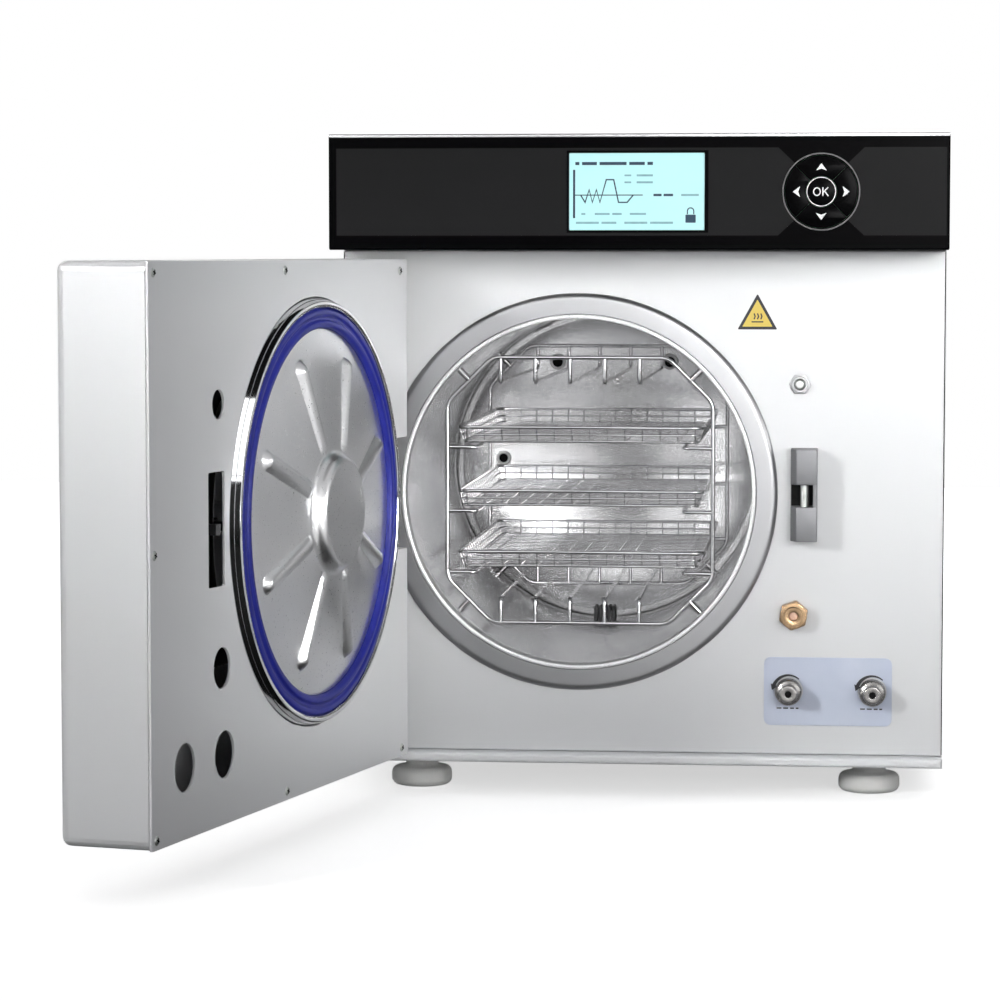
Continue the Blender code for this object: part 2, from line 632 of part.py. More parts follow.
def build_services(root):
    """Water and steam services beside and behind the chamber."""
    floor = BASE_BOTTOM + PANEL_SHEET + GAP
    x = 0.160

    profile = [(0, floor), (0.046, floor), (0.046, floor + 0.003), (0.040, floor + 0.003), (0.040, 0.200)]
    profile += [(0.034, 0.209), (0.020, 0.213), (0.020, 0.232), (0, 0.232)]
    bm = bmesh.new()
    add_turned(bm, profile, (x, 0.235, 0), "Z", 20)
    add_node("steam_generator", bm, "satin_steel", root)

    bm = bmesh.new()
    add_box(bm, (0.116, 0.315, floor), (0.204, 0.466, floor + 0.003))
    pump = add_node("vacuum_pump", bm, "dark_plastic", root)
    bm = bmesh.new()
    add_box(bm, (0.140, 0.330, floor + 0.002), (0.180, 0.460, 0.070))
    boolean(pump, bm, "UNION")
    bm = bmesh.new()
    add_rod(bm, 0.036, 0.350, 0.462, (x, 0, 0.088), steps=24)
    boolean(pump, bm, "UNION")
    bm = bmesh.new()
    add_box(bm, (0.122, 0.318, 0.050), (0.198, 0.356, 0.135))
    boolean(pump, bm, "UNION")

    bm = bmesh.new()
    add_box(bm, (0.135, 0.075, floor), (0.185, 0.135, 0.062))
    feed = add_node("water_pump", bm, "dark_plastic", root)
    bm = bmesh.new()
    add_rod(bm, 0.014, 0.060, 0.088, (x, 0.105, 0), "Z", 16)
    boolean(feed, bm, "UNION")

    bm = bmesh.new()
    fins = 11
    pitch = 0.008
    low = FAN_Z - 0.044
    outline = [(0.455, low), (0.465, low)]
    outline += [(0.465, low + pitch * fins), (0.455, low + pitch * fins)]
    for fin in reversed(range(fins)):
        z = low + pitch * fin
        outline += [(0.455, z + 0.0055), (0.420, z + 0.0055), (0.420, z + 0.0025), (0.455, z + 0.0025)]
    add_prism(bm, outline, FAN_X - 0.045, FAN_X + 0.045, "X")
    add_node("condenser", bm, "aluminium", root)

    bm = bmesh.new()
    add_box(bm, (0.116, 0.452, 0.318), (0.204, 0.4962, 0.342))
    manifold = add_node("valve_manifold", bm, "brass", root)
    bm = bmesh.new()
    for column in range(3):
        add_rod(bm, 0.0115, 0.290, 0.320, (0.131 + 0.029 * column, 0.474, 0), "Z", 16)
    boolean(manifold, bm, "UNION")

    for name, left, right in (("clean_water_tank", -0.206, -0.003), ("used_water_tank", 0.003, 0.206)):
        bm = bmesh.new()
        add_box(bm, (left, TANK_FRONT, TANK_LOW), (right, TANK_BACK, TANK_HIGH))
        tank = add_node(name, bm, "clear_tank", root)
        bm = bmesh.new()
        add_box(
            bm,
            (left + TANK_WALL, TANK_FRONT + TANK_WALL, TANK_LOW + TANK_WALL),
            (right - TANK_WALL, TANK_BACK - TANK_WALL, TANK_HIGH + 0.01),
        )
        boolean(tank, bm, "DIFFERENCE")

    axis = add_empty("tank_lid_axis", TANK_LID_HINGE, root)
    low = TOP + GAP
    bm = bmesh.new()
    add_box(
        bm,
        (-HATCH_HALF - LID_LAP, HATCH_FRONT - LID_LAP, low),
        (HATCH_HALF + LID_LAP, HATCH_BACK + LID_LAP, low + LID_SHEET),
        0.001,
    )
    lid = add_node("tank_lid", bm, "cream_plastic", axis)
    bm = bmesh.new()
    add_box(
        bm,
        (-HATCH_HALF + 0.002, HATCH_FRONT + 0.002, TOP - 0.006),
        (HATCH_HALF - 0.002, HATCH_BACK - 0.003, low + 0.001),
    )
    boolean(lid, bm, "UNION")
    bm = bmesh.new()
    add_rod(bm, 0.0028, -0.100, 0.100, TANK_LID_HINGE, "X", 12)
    boolean(lid, bm, "UNION")
    bm = bmesh.new()
    add_box(
        bm,
        (-HATCH_HALF + 0.0045, HATCH_FRONT + 0.0045, TOP - 0.01),
        (HATCH_HALF - 0.0045, HATCH_BACK - 0.0055, low + 0.0005),
    )
    boolean(lid, bm, "DIFFERENCE")


# Fittings on the front panel


def build_fittings(root):
    on_panel = -GAP

    bm = bmesh.new()
    add_box(bm, (LOCK_LEFT, LOCK_FACE, LOCK_LOW), (LOCK_RIGHT, on_panel, LOCK_HIGH))
    rim = [edge for edge in bm.edges if all(vert.co.y < LOCK_FACE + 0.001 for vert in edge.verts)]
    bmesh.ops.bevel(bm, geom=rim, offset=0.0016, segments=3, profile=0.5, affect="EDGES")
    lock = add_node("lock_housing", bm, "satin_steel", root)
    bm = bmesh.new()
    low, high = LOCK_WINDOW
    add_box(bm, (LOCK_LEFT - 0.01, LOCK_FACE - 0.01, low), (LOCK_WINDOW_RIGHT, -0.0110, high))
    boolean(lock, bm, "DIFFERENCE")
    bm = bmesh.new()
    bore_top = BOLT.z + BOLT_LENGTH + BOLT_TRAVEL + 0.0005
    add_rod(bm, BOLT_RADIUS + GAP, BOLT.z - GAP, bore_top, BOLT, "Z", 16)
    boolean(lock, bm, "DIFFERENCE")

    axis = add_empty("lock_bolt_axis", BOLT, root)
    bm = bmesh.new()
    add_rod(bm, BOLT_RADIUS, BOLT.z, BOLT.z + BOLT_LENGTH, BOLT, "Z", 16)
    add_node("lock_bolt", bm, "zinc_steel", axis)

    switch = (SWITCH_X, 0, SWITCH_Z)
    bm = bmesh.new()
    add_tube(bm, 0.0038, 0.0058, -0.0060, on_panel, switch, steps=24)
    bushing = add_node("door_switch_bushing", bm, "satin_steel", root)
    bm = bmesh.new()
    add_tube(bm, 0.0040, 0.0078, -0.0030, on_panel, switch, steps=6)
    boolean(bushing, bm, "UNION")
    axis = add_empty("door_switch_axis", (SWITCH_X, -0.012, SWITCH_Z), root)
    profile = [(0, -0.0120), (0.0022, -0.0120), (0.0034, -0.0105), (0.0034, 0.0140), (0, 0.0140)]
    bm = bmesh.new()
    add_turned(bm, profile, switch, "Y", 16)
    add_node("door_switch_plunger", bm, "dark_plastic", axis)

    bm = bmesh.new()
    hexagon = arc((FITTING_X, FITTING_Z), 0.0110, 0, 360, 6)[:-1]
    add_prism(bm, hexagon, -0.0090, on_panel)
    fitting = add_node("brass_fitting", bm, "brass", root)
    bm = bmesh.new()
    profile = [(0, -0.0160), (0.0058, -0.0160), (0.0068, -0.0150), (0.0068, -0.0050), (0, -0.0050)]
    add_turned(bm, profile, (FITTING_X, 0, FITTING_Z), "Y", 24)
    boolean(fitting, bm, "UNION")
    bm = bmesh.new()
    add_rod(bm, 0.0034, -0.03, -0.0040, (FITTING_X, 0, FITTING_Z), steps=16)
    boolean(fitting, bm, "DIFFERENCE")

    bm = bmesh.new()
    left, right, low, high, radius = 0.0885, 0.1800, 0.0525, 0.1017, 0.004
    outline = arc((right - radius, high - radius), radius, 0, 90, 4)
    outline += arc((left + radius, high - radius), radius, 90, 180, 4)
    outline += arc((left + radius, low + radius), radius, 180, 270, 4)
    outline += arc((right - radius, low + radius), radius, 270, 360, 4)
    add_prism(bm, outline, on_panel - 0.0010, on_panel)
    plate = add_node("valve_label_plate", bm, "pale_blue", root)
    bm = bmesh.new()
    for x in VALVES_X:
        add_rod(bm, VALVE_RADIUS + 0.0008, -0.01, 0.01, (x, 0, VALVES_Z), steps=24)
    boolean(plate, bm, "DIFFERENCE")

    profile = [(0, -0.0080), (0.0036, -0.0080), (0.0036, -0.0230), (0.0058, -0.0230), (0.0066, -0.0222)]
    profile += [(0.0066, -0.0135), (VALVE_RADIUS - 0.0008, -0.0130), (VALVE_RADIUS, -0.0120)]
    profile += [(VALVE_RADIUS, on_panel), (0, on_panel)]
    for name, x in zip(("drain_valve_left", "drain_valve_right"), VALVES_X):
        axis = add_empty(f"{name}_axis", (x, -0.012, VALVES_Z), root)
        bm = bmesh.new()
        add_turned(bm, profile, (x, 0, VALVES_Z), "Y", 16)
        add_node(name, bm, "satin_steel", axis)


# Door


def build_hinge(root):
    bm = bmesh.new()
    add_box(bm, (-0.2130, -0.0033, LEAF_LOW), (-0.1910, -GAP, LEAF_HIGH))
    leaf = add_node("hinge_bracket", bm, "olive_steel", root)
    bm = bmesh.new()
    add_box(bm, (-0.2060, HINGE.y, LEAF_LOW), (-0.1940, -0.0020, LEAF_HIGH))
    boolean(leaf, bm, "UNION")
    bm = bmesh.new()
    add_rod(bm, KNUCKLE, LEAF_LOW, LEAF_HIGH, HINGE, "Z", 24)
    boolean(leaf, bm, "UNION")
    bm = bmesh.new()
    add_box(bm, (-0.2300, -0.0600, ARM_LOW - GAP), (-0.1700, -0.0300, ARM_HIGH + GAP))
    boolean(leaf, bm, "DIFFERENCE")
    bm = bmesh.new()
    add_rod(bm, HINGE_PIN + GAP, 0.17, 0.27, HINGE, "Z", 16)
    boolean(leaf, bm, "DIFFERENCE")

    bm = bmesh.new()
    profile = [(0, LEAF_LOW - 0.001), (HINGE_PIN, LEAF_LOW - 0.001), (HINGE_PIN, LEAF_HIGH + GAP)]
    profile += [(0.0075, LEAF_HIGH + GAP), (0.0075, LEAF_HIGH + 0.0023), (0.006, LEAF_HIGH + 0.0033)]
    profile += [(0, LEAF_HIGH + 0.0033)]
    add_turned(bm, profile, (HINGE.x, HINGE.y, 0), "Z", 16)
    add_node("hinge_pin", bm, "satin_steel", root)


def build_door(root):
    axis = add_empty("door_axis", HINGE, root)
    notch_low = LEAF_LOW - 0.0025
    notch_high = LEAF_HIGH + 0.0060
    panel_back = DOOR_FACE - PANEL_SHEET
    cover_front = panel_back - GAP

    bm = bmesh.new()
    add_box(bm, (DOOR_LEFT, panel_back, DOOR_LOW), (DOOR_RIGHT, DOOR_FACE, DOOR_HIGH))
    panel = add_node("door_inner_panel", bm, "white_paint", axis)
    bm = bmesh.new()
    centre = (AXIS_X, 0, AXIS_Z)
    add_rod(bm, LID_RADIUS + 0.0008, -0.03, 0.0, centre, steps=WIDE_STEPS)
    add_box(bm, (DOOR_LEFT - 0.01, -0.03, notch_low), (-0.1905, 0.0, notch_high))
    add_box(bm, (LOCK_LEFT - 0.003, -0.03, LOCK_LOW - 0.003), (LOCK_RIGHT + 0.003, 0.0, LOCK_HIGH + 0.0035))
    add_rod(bm, 0.00925, -0.03, 0.0, (SWITCH_X, 0, SWITCH_Z), steps=20)
    add_rod(bm, 0.0130, -0.03, 0.0, (FITTING_X, 0, FITTING_Z), steps=20)
    for x in VALVES_X:
        add_rod(bm, 0.0150, -0.03, 0.0, (x, 0, VALVES_Z), steps=24)
    boolean(panel, bm, "DIFFERENCE")

    bm = bmesh.new()
    add_box(bm, (DOOR_LEFT, DOOR_BACK, DOOR_LOW), (DOOR_RIGHT, cover_front, DOOR_HIGH))
    rounded = [edge for edge in bm.edges if any(vert.co.y < DOOR_BACK + 0.001 for vert in edge.verts)]
    bmesh.ops.bevel(bm, geom=rounded, offset=0.006, segments=4, profile=0.5, affect="EDGES")
    cover = add_node("door_cover", bm, "white_paint", axis)
    bm = bmesh.new()
    add_box(
        bm,
        (DOOR_LEFT + DOOR_WALL, DOOR_BACK + DOOR_WALL, DOOR_LOW + DOOR_WALL),
        (DOOR_RIGHT - DOOR_WALL, 0.0, DOOR_HIGH - DOOR_WALL),
    )
    boolean(cover, bm, "DIFFERENCE")
    bm = bmesh.new()
    pocket_left, pocket_right, pocket_low, pocket_high, pocket_floor = 0.095, 0.170, 0.248, 0.342, -0.0525
    add_box(
        bm,
        (pocket_left - DOOR_WALL, DOOR_BACK + 0.001, pocket_low - DOOR_WALL),
        (pocket_right + DOOR_WALL, pocket_floor + DOOR_WALL, pocket_high + DOOR_WALL),
    )
    boolean(cover, bm, "UNION")
    bm = bmesh.new()
    add_box(bm, (pocket_left, DOOR_BACK - 0.01, pocket_low), (pocket_right, pocket_floor, pocket_high))
    add_box(bm, (DOOR_LEFT - 0.01, -0.0660, notch_low), (-0.1905, 0.0, notch_high))
    boolean(cover, bm, "DIFFERENCE")
    bm = bmesh.new()
    add_rod(bm, LATCH_SHAFT + 0.0006, 0.240, 0.250, LATCH, "Z", 16)
    boolean(cover, bm, "DIFFERENCE")

    # Steel carrier inside the door: it turns on the hinge pin and bears the lid's spindle.
    bm = bmesh.new()
    add_box(bm, (-0.1650, -0.0490, 0.1250), (0.0850, -0.0430, 0.3140))
    carrier = add_node("door_carrier", bm, "olive_steel", axis)
    bm = bmesh.new()
    add_box(bm, (HINGE.x, -0.0500, ARM_LOW), (-0.1550, -0.0360, ARM_HIGH))
    boolean(carrier, bm, "UNION")
    bm = bmesh.new()
    add_rod(bm, KNUCKLE, ARM_LOW, ARM_HIGH, HINGE, "Z", 24)
    boolean(carrier, bm, "UNION")
    bm = bmesh.new()
    add_rod(bm, HINGE_PIN + GAP, 0.17, 0.27, HINGE, "Z", 16)
    boolean(carrier, bm, "DIFFERENCE")
    bm = bmesh.new()
    add_rod(bm, 0.0113, -0.07, -0.03, centre, steps=24)
    for x in (AXIS_X - 0.075, AXIS_X + 0.075):
        for z in (AXIS_Z - 0.060, AXIS_Z + 0.060):
            add_rod(bm, 0.020, -0.07, -0.03, (x, 0, z), steps=20)
    boolean(carrier, bm, "DIFFERENCE")

    profile = [(0, -0.0600), (0.0110, -0.0600), (0.0110, -0.0427), (0.0200, -0.0427), (0.0200, -0.0370)]
    profile += [(0.0140, -0.0370), (0.0140, -0.0140), (0, -0.0140)]
    bm = bmesh.new()
    add_turned(bm, profile, centre, "Y", 24)
    add_node("lid_spindle", bm, "zinc_steel", axis)

    groove = LID_FACE - 0.0080
    back = -0.0235
    profile = [(0, BOSS_FACE), (BOSS_RADIUS - 0.0045, BOSS_FACE), (BOSS_RADIUS - 0.0012, BOSS_FACE - 0.0018)]
    profile += [(BOSS_RADIUS + 0.0005, BOSS_FACE - 0.0050), (BOSS_RADIUS + 0.0040, DOME_FACE)]
    profile += [(SEAL_INNER - GAP, LID_FACE), (SEAL_INNER - GAP, groove)]
    profile += [(SEAL_OUTER + GAP, groove), (SEAL_OUTER + GAP, -0.0062), (SEAL_OUTER + 0.0016, -0.0052)]
    profile += [(LID_RADIUS - 0.0022, -0.0056), (LID_RADIUS, -0.0082), (LID_RADIUS, back)]
    profile += [(LID_RADIUS - 0.0030, back), (LID_RADIUS - 0.0060, groove - 0.0035)]
    profile += [(SEAL_INNER - 0.005, groove - 0.0035), (SEAL_INNER - 0.010, LID_HUB)]
    profile += [(BOSS_RADIUS + 0.0050, DOME_FACE - DOME_WALL), (0.0200, DOME_FACE - DOME_WALL)]
    profile += [(0.0180, LID_HUB), (0, LID_HUB)]
    bm = bmesh.new()
    add_turned(bm, profile, centre, "Y", WIDE_STEPS)
    add_node("chamber_lid", bm, "polished_steel", axis)

    seal_face = FLANGE_FACE - 0.0006
    seal_back = groove + GAP
    middle = (SEAL_INNER + SEAL_OUTER) / 2
    profile = [(SEAL_INNER, seal_back), (SEAL_INNER, seal_face - 0.0022), (SEAL_INNER + 0.0014, seal_face)]
    profile += [(middle - 0.0026, seal_face - 0.0004), (middle, seal_face - 0.0024)]
    profile += [(middle + 0.0026, seal_face - 0.0004), (SEAL_OUTER - 0.0014, seal_face)]
    profile += [(SEAL_OUTER, seal_face - 0.0022), (SEAL_OUTER, seal_back)]
    bm = bmesh.new()
    add_turned(bm, profile, centre, "Y", WIDE_STEPS, ring=True)
    add_node("door_seal", bm, "blue_silicone", axis)

    latch = add_empty("latch_axis", LATCH, axis)
    bm = bmesh.new()
    add_rod(bm, LATCH_SHAFT, 0.2080, 0.2700, LATCH, "Z", 16)
    add_node("latch_shaft", bm, "zinc_steel", latch)
    bm = bmesh.new()
    hook = [(0.1580, -0.0685), (0.1580, -0.0560), (0.1170, -0.0300), (0.1128, -0.0265)]
    hook += [(0.1128, -0.0222), (0.1126, -0.0140), (0.1110, -0.0122), (0.1092, -0.0122), (0.1092, -0.0330)]
    add_prism(bm, hook, 0.2160, 0.2230, "Z")
    arm = add_node("latch_hook", bm, "satin_steel", latch)
    bm = bmesh.new()
    add_rod(bm, 0.0070, 0.2130, 0.2260, LATCH, "Z", 20)
    boolean(arm, bm, "UNION")
    bm = bmesh.new()
    add_rod(bm, LATCH_SHAFT + GAP, 0.20, 0.24, LATCH, "Z", 16)
    boolean(arm, bm, "DIFFERENCE")
    bm = bmesh.new()
    add_box(bm, (0.1030, -0.0730, 0.2520), (0.1600, -0.0655, 0.3380), 0.0025, 3)
    handle = add_node("door_handle", bm, "cream_plastic", latch)
    bm = bmesh.new()
    add_rod(bm, 0.0065, 0.2540, 0.3360, LATCH, "Z", 20)
    boolean(handle, bm, "UNION")
    bm = bmesh.new()
    add_rod(bm, LATCH_SHAFT + GAP, 0.24, 0.2705, LATCH, "Z", 16)
    boolean(handle, bm, "DIFFERENCE")

    axis.rotation_euler.z = -DOOR_OPEN


# Rack and trays


def build_rack(root):
    axis = add_empty("rack_axis", (AXIS_X, RACK_FRONT, AXIS_Z), root)
    half, cut = RACK_HALF, RACK_HALF - RACK_CHAMFER
    octagon = [(cut, half), (half, cut), (half, -cut), (cut, -half)]
    octagon += [(-x, -z) for x, z in octagon]
    bm = bmesh.new()
    for y in (RACK_FRONT, RACK_BACK):
        add_wire(bm, [(AXIS_X + x, y, AXIS_Z + z) for x, z in octagon], closed=True)
    rack = add_node("chamber_rack", bm, "polished_steel", axis)

    bm = bmesh.new()
    for side in (-1, 1):
        x_out, x_in = AXIS_X + side * half, AXIS_X + side * (half - RAIL_INSET)
        for z in RAILS_Z:
            run = [(x_out, RACK_FRONT, z), (x_in, RACK_FRONT, z), (x_in, RACK_BACK, z), (x_out, RACK_BACK, z)]
            add_wire(bm, run)
        z_out, z_in = AXIS_Z + side * half, AXIS_Z + side * (half - DIVIDER_DROP)
        for wire in range(DIVIDERS):
            x = AXIS_X + DIVIDER_FIRST + DIVIDER_PITCH * wire
            run = [(x, RACK_FRONT, z_out), (x, RACK_FRONT, z_in), (x, RACK_BACK, z_in), (x, RACK_BACK, z_out)]
            add_wire(bm, run)
    near = (half + cut) / 2
    far = (BORE - 0.0006) / math.sqrt(2)
    for y in (RACK_FRONT, RACK_BACK):
        for sx in (-1, 1):
            for sz in (-1, 1):
                start = (AXIS_X + sx * near, y, AXIS_Z + sz * near)
                add_wire(bm, [start, (AXIS_X + sx * far, y, AXIS_Z + sz * far)], 0.0024)
    boolean(rack, bm, "UNION")

    for name, rail in zip(("upper", "middle", "lower"), RAILS_Z):
        floor = rail + WIRE + 0.0004
        start = RACK_FRONT + 0.006
        tray_axis = add_empty(f"tray_{name}_axis", (AXIS_X, start, floor), axis)
        bm = bmesh.new()
        add_box(
            bm,
            (AXIS_X - TRAY_HALF, start, floor),
            (AXIS_X + TRAY_HALF, start + TRAY_LENGTH, floor + TRAY_HEIGHT),
        )
        tray = add_node(f"tray_{name}", bm, "polished_steel", tray_axis)
        bm = bmesh.new()
        add_box(
            bm,
            (AXIS_X - TRAY_HALF + TRAY_SHEET, start + TRAY_SHEET, floor + TRAY_SHEET),
            (AXIS_X + TRAY_HALF - TRAY_SHEET, start + TRAY_LENGTH - TRAY_SHEET, floor + 0.03),
        )
        boolean(tray, bm, "DIFFERENCE")


def stand_on_origin(root):
    """Moves the assembly so that the middle of its bounding box's floor is the world's origin."""
    bpy.context.view_layer.update()
    graph = bpy.context.evaluated_depsgraph_get()
    corners = []
    for obj in bpy.data.objects:
        if obj.type == "MESH" and not obj.hide_render:
            solid = obj.evaluated_get(graph)
            corners += [solid.matrix_world @ vert.co for vert in solid.data.vertices]
    for axis in (0, 1):
        values = [corner[axis] for corner in corners]
        root.location[axis] -= (min(values) + max(values)) / 2


clear_scene()
MATERIALS = {name: make_material(name) for name in COLOURS}
autoclave = add_empty("autoclave", (0, 0, 0))
build_cabinet(autoclave)
build_rear(autoclave)
build_head(autoclave)
build_chamber(autoclave)
build_services(autoclave)
build_fittings(autoclave)
build_hinge(autoclave)
build_door(autoclave)
build_rack(autoclave)
stand_on_origin(autoclave)
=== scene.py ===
"""Looks of the benchtop autoclave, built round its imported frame.

Pieces are modelled in cabinet coordinates with the door shut: X = 0 is the middle of the cabinet, Y = 0 the face
of its front panel and Z = 0 the bench. ORIGIN moves them into the frame, and DOOR swings the door's pieces open.
"""

import json
from math import cos, degrees, hypot, pi, radians, sin, sqrt

import bmesh
import bpy
from mathutils import Matrix, Vector


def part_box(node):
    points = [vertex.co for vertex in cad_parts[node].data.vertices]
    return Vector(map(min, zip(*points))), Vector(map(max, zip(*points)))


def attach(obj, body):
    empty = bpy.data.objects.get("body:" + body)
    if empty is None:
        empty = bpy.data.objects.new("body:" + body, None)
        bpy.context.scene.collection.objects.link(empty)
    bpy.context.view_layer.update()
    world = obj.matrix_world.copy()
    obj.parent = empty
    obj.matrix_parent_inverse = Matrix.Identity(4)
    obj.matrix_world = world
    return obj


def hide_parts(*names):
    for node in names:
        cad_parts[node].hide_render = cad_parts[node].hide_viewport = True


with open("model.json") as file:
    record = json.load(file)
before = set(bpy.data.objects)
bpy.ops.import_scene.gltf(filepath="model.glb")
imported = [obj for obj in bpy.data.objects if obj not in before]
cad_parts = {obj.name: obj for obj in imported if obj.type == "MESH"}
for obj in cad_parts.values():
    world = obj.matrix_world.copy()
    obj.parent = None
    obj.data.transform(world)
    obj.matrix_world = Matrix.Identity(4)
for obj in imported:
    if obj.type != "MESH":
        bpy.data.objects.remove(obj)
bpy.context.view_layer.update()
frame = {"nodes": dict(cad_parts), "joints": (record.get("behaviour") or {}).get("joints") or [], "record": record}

PANEL_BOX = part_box("front_panel")
ORIGIN = Vector(((PANEL_BOX[0].x + PANEL_BOX[1].x) / 2, PANEL_BOX[0].y, 0.0))
JOINTS = {joint["name"]: joint for joint in frame["joints"]}


def box(node):
    """A CAD node's lowest and highest corners, in cabinet coordinates."""
    low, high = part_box(node)
    return low - ORIGIN, high - ORIGIN


def centre_of(node):
    low, high = box(node)
    return (low + high) / 2


def door_matrix():
    """Takes the shut door's place in the frame to the open one, where it rests."""
    joint = JOINTS["door_hinge"]
    pivot = Vector(joint["pos_m"])
    swing = Matrix.Rotation(-radians(joint["range_deg"][1]), 4, "Z")
    return Matrix.Translation(pivot) @ swing @ Matrix.Translation(-pivot) @ Matrix.Translation(ORIGIN)


FIXED = Matrix.Translation(ORIGIN)
DOOR = door_matrix()
DOOR_BODIES = ("door", "latch")

FLAT = 8.0  # smoothing angle of a large flat face with a narrow rounded edge
ROUND = 64  # sides of a small turned piece
WIDE = 160  # sides of the chamber's rings
MERGE = 1e-7  # points nearer than this are one

# Cabinet
HALF_WIDTH = (PANEL_BOX[1].x - PANEL_BOX[0].x) / 2
CHAMBER_LOW, CHAMBER_HIGH = box("chamber")
AXIS = Vector(((CHAMBER_LOW.x + CHAMBER_HIGH.x) / 2, 0.0, (CHAMBER_LOW.z + CHAMBER_HIGH.z) / 2))
WALL = 0.0026
BORE = (CHAMBER_HIGH.x - CHAMBER_LOW.x) / 2 - WALL
MOUTH = CHAMBER_LOW.y
STRAIGHT = 0.325
DISH = 0.035
PORTS = ((-0.0896, 0.302, 0.0042), (0.0025, 0.3022, 0.0042), (-0.1343, 0.2226, 0.0036))  # x, z and radius

# Control head
FACE = box("control_fascia")[0].y
HEAD_LOW, HEAD_HIGH = box("control_fascia")[0].z, box("control_fascia")[1].z
SCREEN_LOW, SCREEN_HIGH = box("display_module")
KEYS = Vector((0.1277, FACE, 0.4339))
KEYS_RADIUS = 0.0252
OK_RADIUS = 0.0106
BAND = (-0.2104, 0.2138, 0.4037, 0.4644)  # left, right, low and high
PRINT = 0.00008  # thickness of a printed mark

# Door
DOOR_LEFT, DOOR_RIGHT = -0.2159, 0.2141
DOOR_LOW, DOOR_HIGH = 0.033, 0.3875
DOOR_FACE = -0.0115
PANEL_SHEET = 0.002
LID_RADIUS = 0.1425
SEAL_INNER, SEAL_OUTER = 0.1224, 0.136
BOSS_RADIUS = 0.037
LATCH = Vector((0.158, -0.062, 0.2195))

# Front fittings
LOCK_LOW, LOCK_HIGH = box("lock_housing")
LOCK_WINDOW = (0.2116, 0.2274)
FITTING = centre_of("brass_fitting")
VALVES = {side: centre_of(f"drain_valve_{side}") for side in ("left", "right")}
LABEL_LOW, LABEL_HIGH = box("valve_label_plate")

# Rack and trays
RACK_LOW, RACK_HIGH = box("chamber_rack")
RACK_HALF = 0.0965
RACK_CHAMFER = 0.0325
WIRE = 0.0016
RACK_FRONT, RACK_BACK = RACK_LOW.y + WIRE, RACK_HIGH.y - WIRE
RAIL_INSET = 0.021
RAILS_Z = (0.2508, 0.2044, 0.1598)
DIVIDERS = 5
DIVIDER_FIRST, DIVIDER_PITCH, DIVIDER_DROP = -0.0575, 0.0252, 0.018


# Procedural materials

MIX_FACTOR, MIX_FIRST, MIX_SECOND, MIX_COLOUR = 0, 6, 7, 2  # a Mix node's colour sockets


def connect(tree, value, socket):
    """Links a socket to another one, or sets its value."""
    if isinstance(value, bpy.types.NodeSocket):
        tree.links.new(value, socket)
    else:
        socket.default_value = value


def add_node(tree, kind, **inputs):
    """A new shader node and its inputs, whose names have _ for each space."""
    node = tree.nodes.new("ShaderNode" + kind)
    for name, value in inputs.items():
        connect(tree, value, node.inputs[name.replace("_", " ")])
    return node


def noise(tree, vector, size, detail=3.0, distortion=0.0):
    """Noise whose features are about size metres across."""
    node = add_node(tree, "TexNoise", Vector=vector, Scale=1.0 / size, Detail=detail, Distortion=distortion)
    return node.outputs["Fac"]


def own_coordinates(tree, **change):
    """The piece's own coordinates, moved or scaled. A texture on them runs out along an axis with a low scale."""
    coordinates = add_node(tree, "TexCoord").outputs["Object"]
    return add_node(tree, "Mapping", Vector=coordinates, **change).outputs["Vector"]


def spread(tree, value, low, high):
    """Takes noise, which seldom leaves 0.3 to 0.7, to low to high."""
    node = add_node(tree, "MapRange", Value=value, From_Min=0.3, From_Max=0.7, To_Min=low, To_Max=high)
    return node.outputs["Result"]


def mixed(tree, factor, first, second):
    node = tree.nodes.new("ShaderNodeMix")
    node.data_type = "RGBA"
    for index, value in ((MIX_FACTOR, factor), (MIX_FIRST, first), (MIX_SECOND, second)):
        connect(tree, (*value, 1.0) if isinstance(value, tuple) else value, node.inputs[index])
    return node.outputs[MIX_COLOUR]


def bumped(tree, height, depth, below=None):
    """A bump whose highest points stand depth metres proud."""
    node = add_node(tree, "Bump", Height=height, Strength=1.0, Distance=depth)
    if below is not None:
        connect(tree, below, node.inputs["Normal"])
    return node.outputs["Normal"]


def surface(
    name, colour, roughness, metallic=0.0, tone=0.04, tone_size=0.07, grain_size=0.0008, grain_depth=1e-5,
    grain=(1.0, 1.0, 1.0), rough_spread=0.05, wave=None, tint=None, specular=0.5,
):
    """A finish with broad tone variation, and a fine grain that shows in its roughness and bump.

    tint stands in for the lighter tone, and wave is the size and depth of broad dents.
    """
    material = bpy.data.materials.new(name)
    material.use_nodes = True
    tree = material.node_tree
    even = own_coordinates(tree)
    broad = noise(tree, even, tone_size, distortion=0.4)
    fine = noise(tree, own_coordinates(tree, Scale=grain), grain_size, 4.0)
    light = tint or tuple(min(channel * (1 + tone), 1.0) for channel in colour)
    dark = tuple(channel * (1 - tone) for channel in colour)
    normal = bumped(tree, fine, grain_depth)
    if wave:
        wave_size, wave_depth = wave
        normal = bumped(tree, noise(tree, even, wave_size, 2.0), wave_depth, normal)
    low, high = max(roughness - rough_spread, 0.02), min(roughness + rough_spread, 1.0)
    inputs = tree.nodes["Principled BSDF"].inputs
    connect(tree, metallic, inputs["Metallic"])
    connect(tree, specular, inputs["Specular IOR Level"])
    connect(tree, mixed(tree, spread(tree, broad, 0.0, 1.0), dark, light), inputs["Base Color"])
    connect(tree, spread(tree, fine, low, high), inputs["Roughness"])
    connect(tree, normal, inputs["Normal"])
    return material


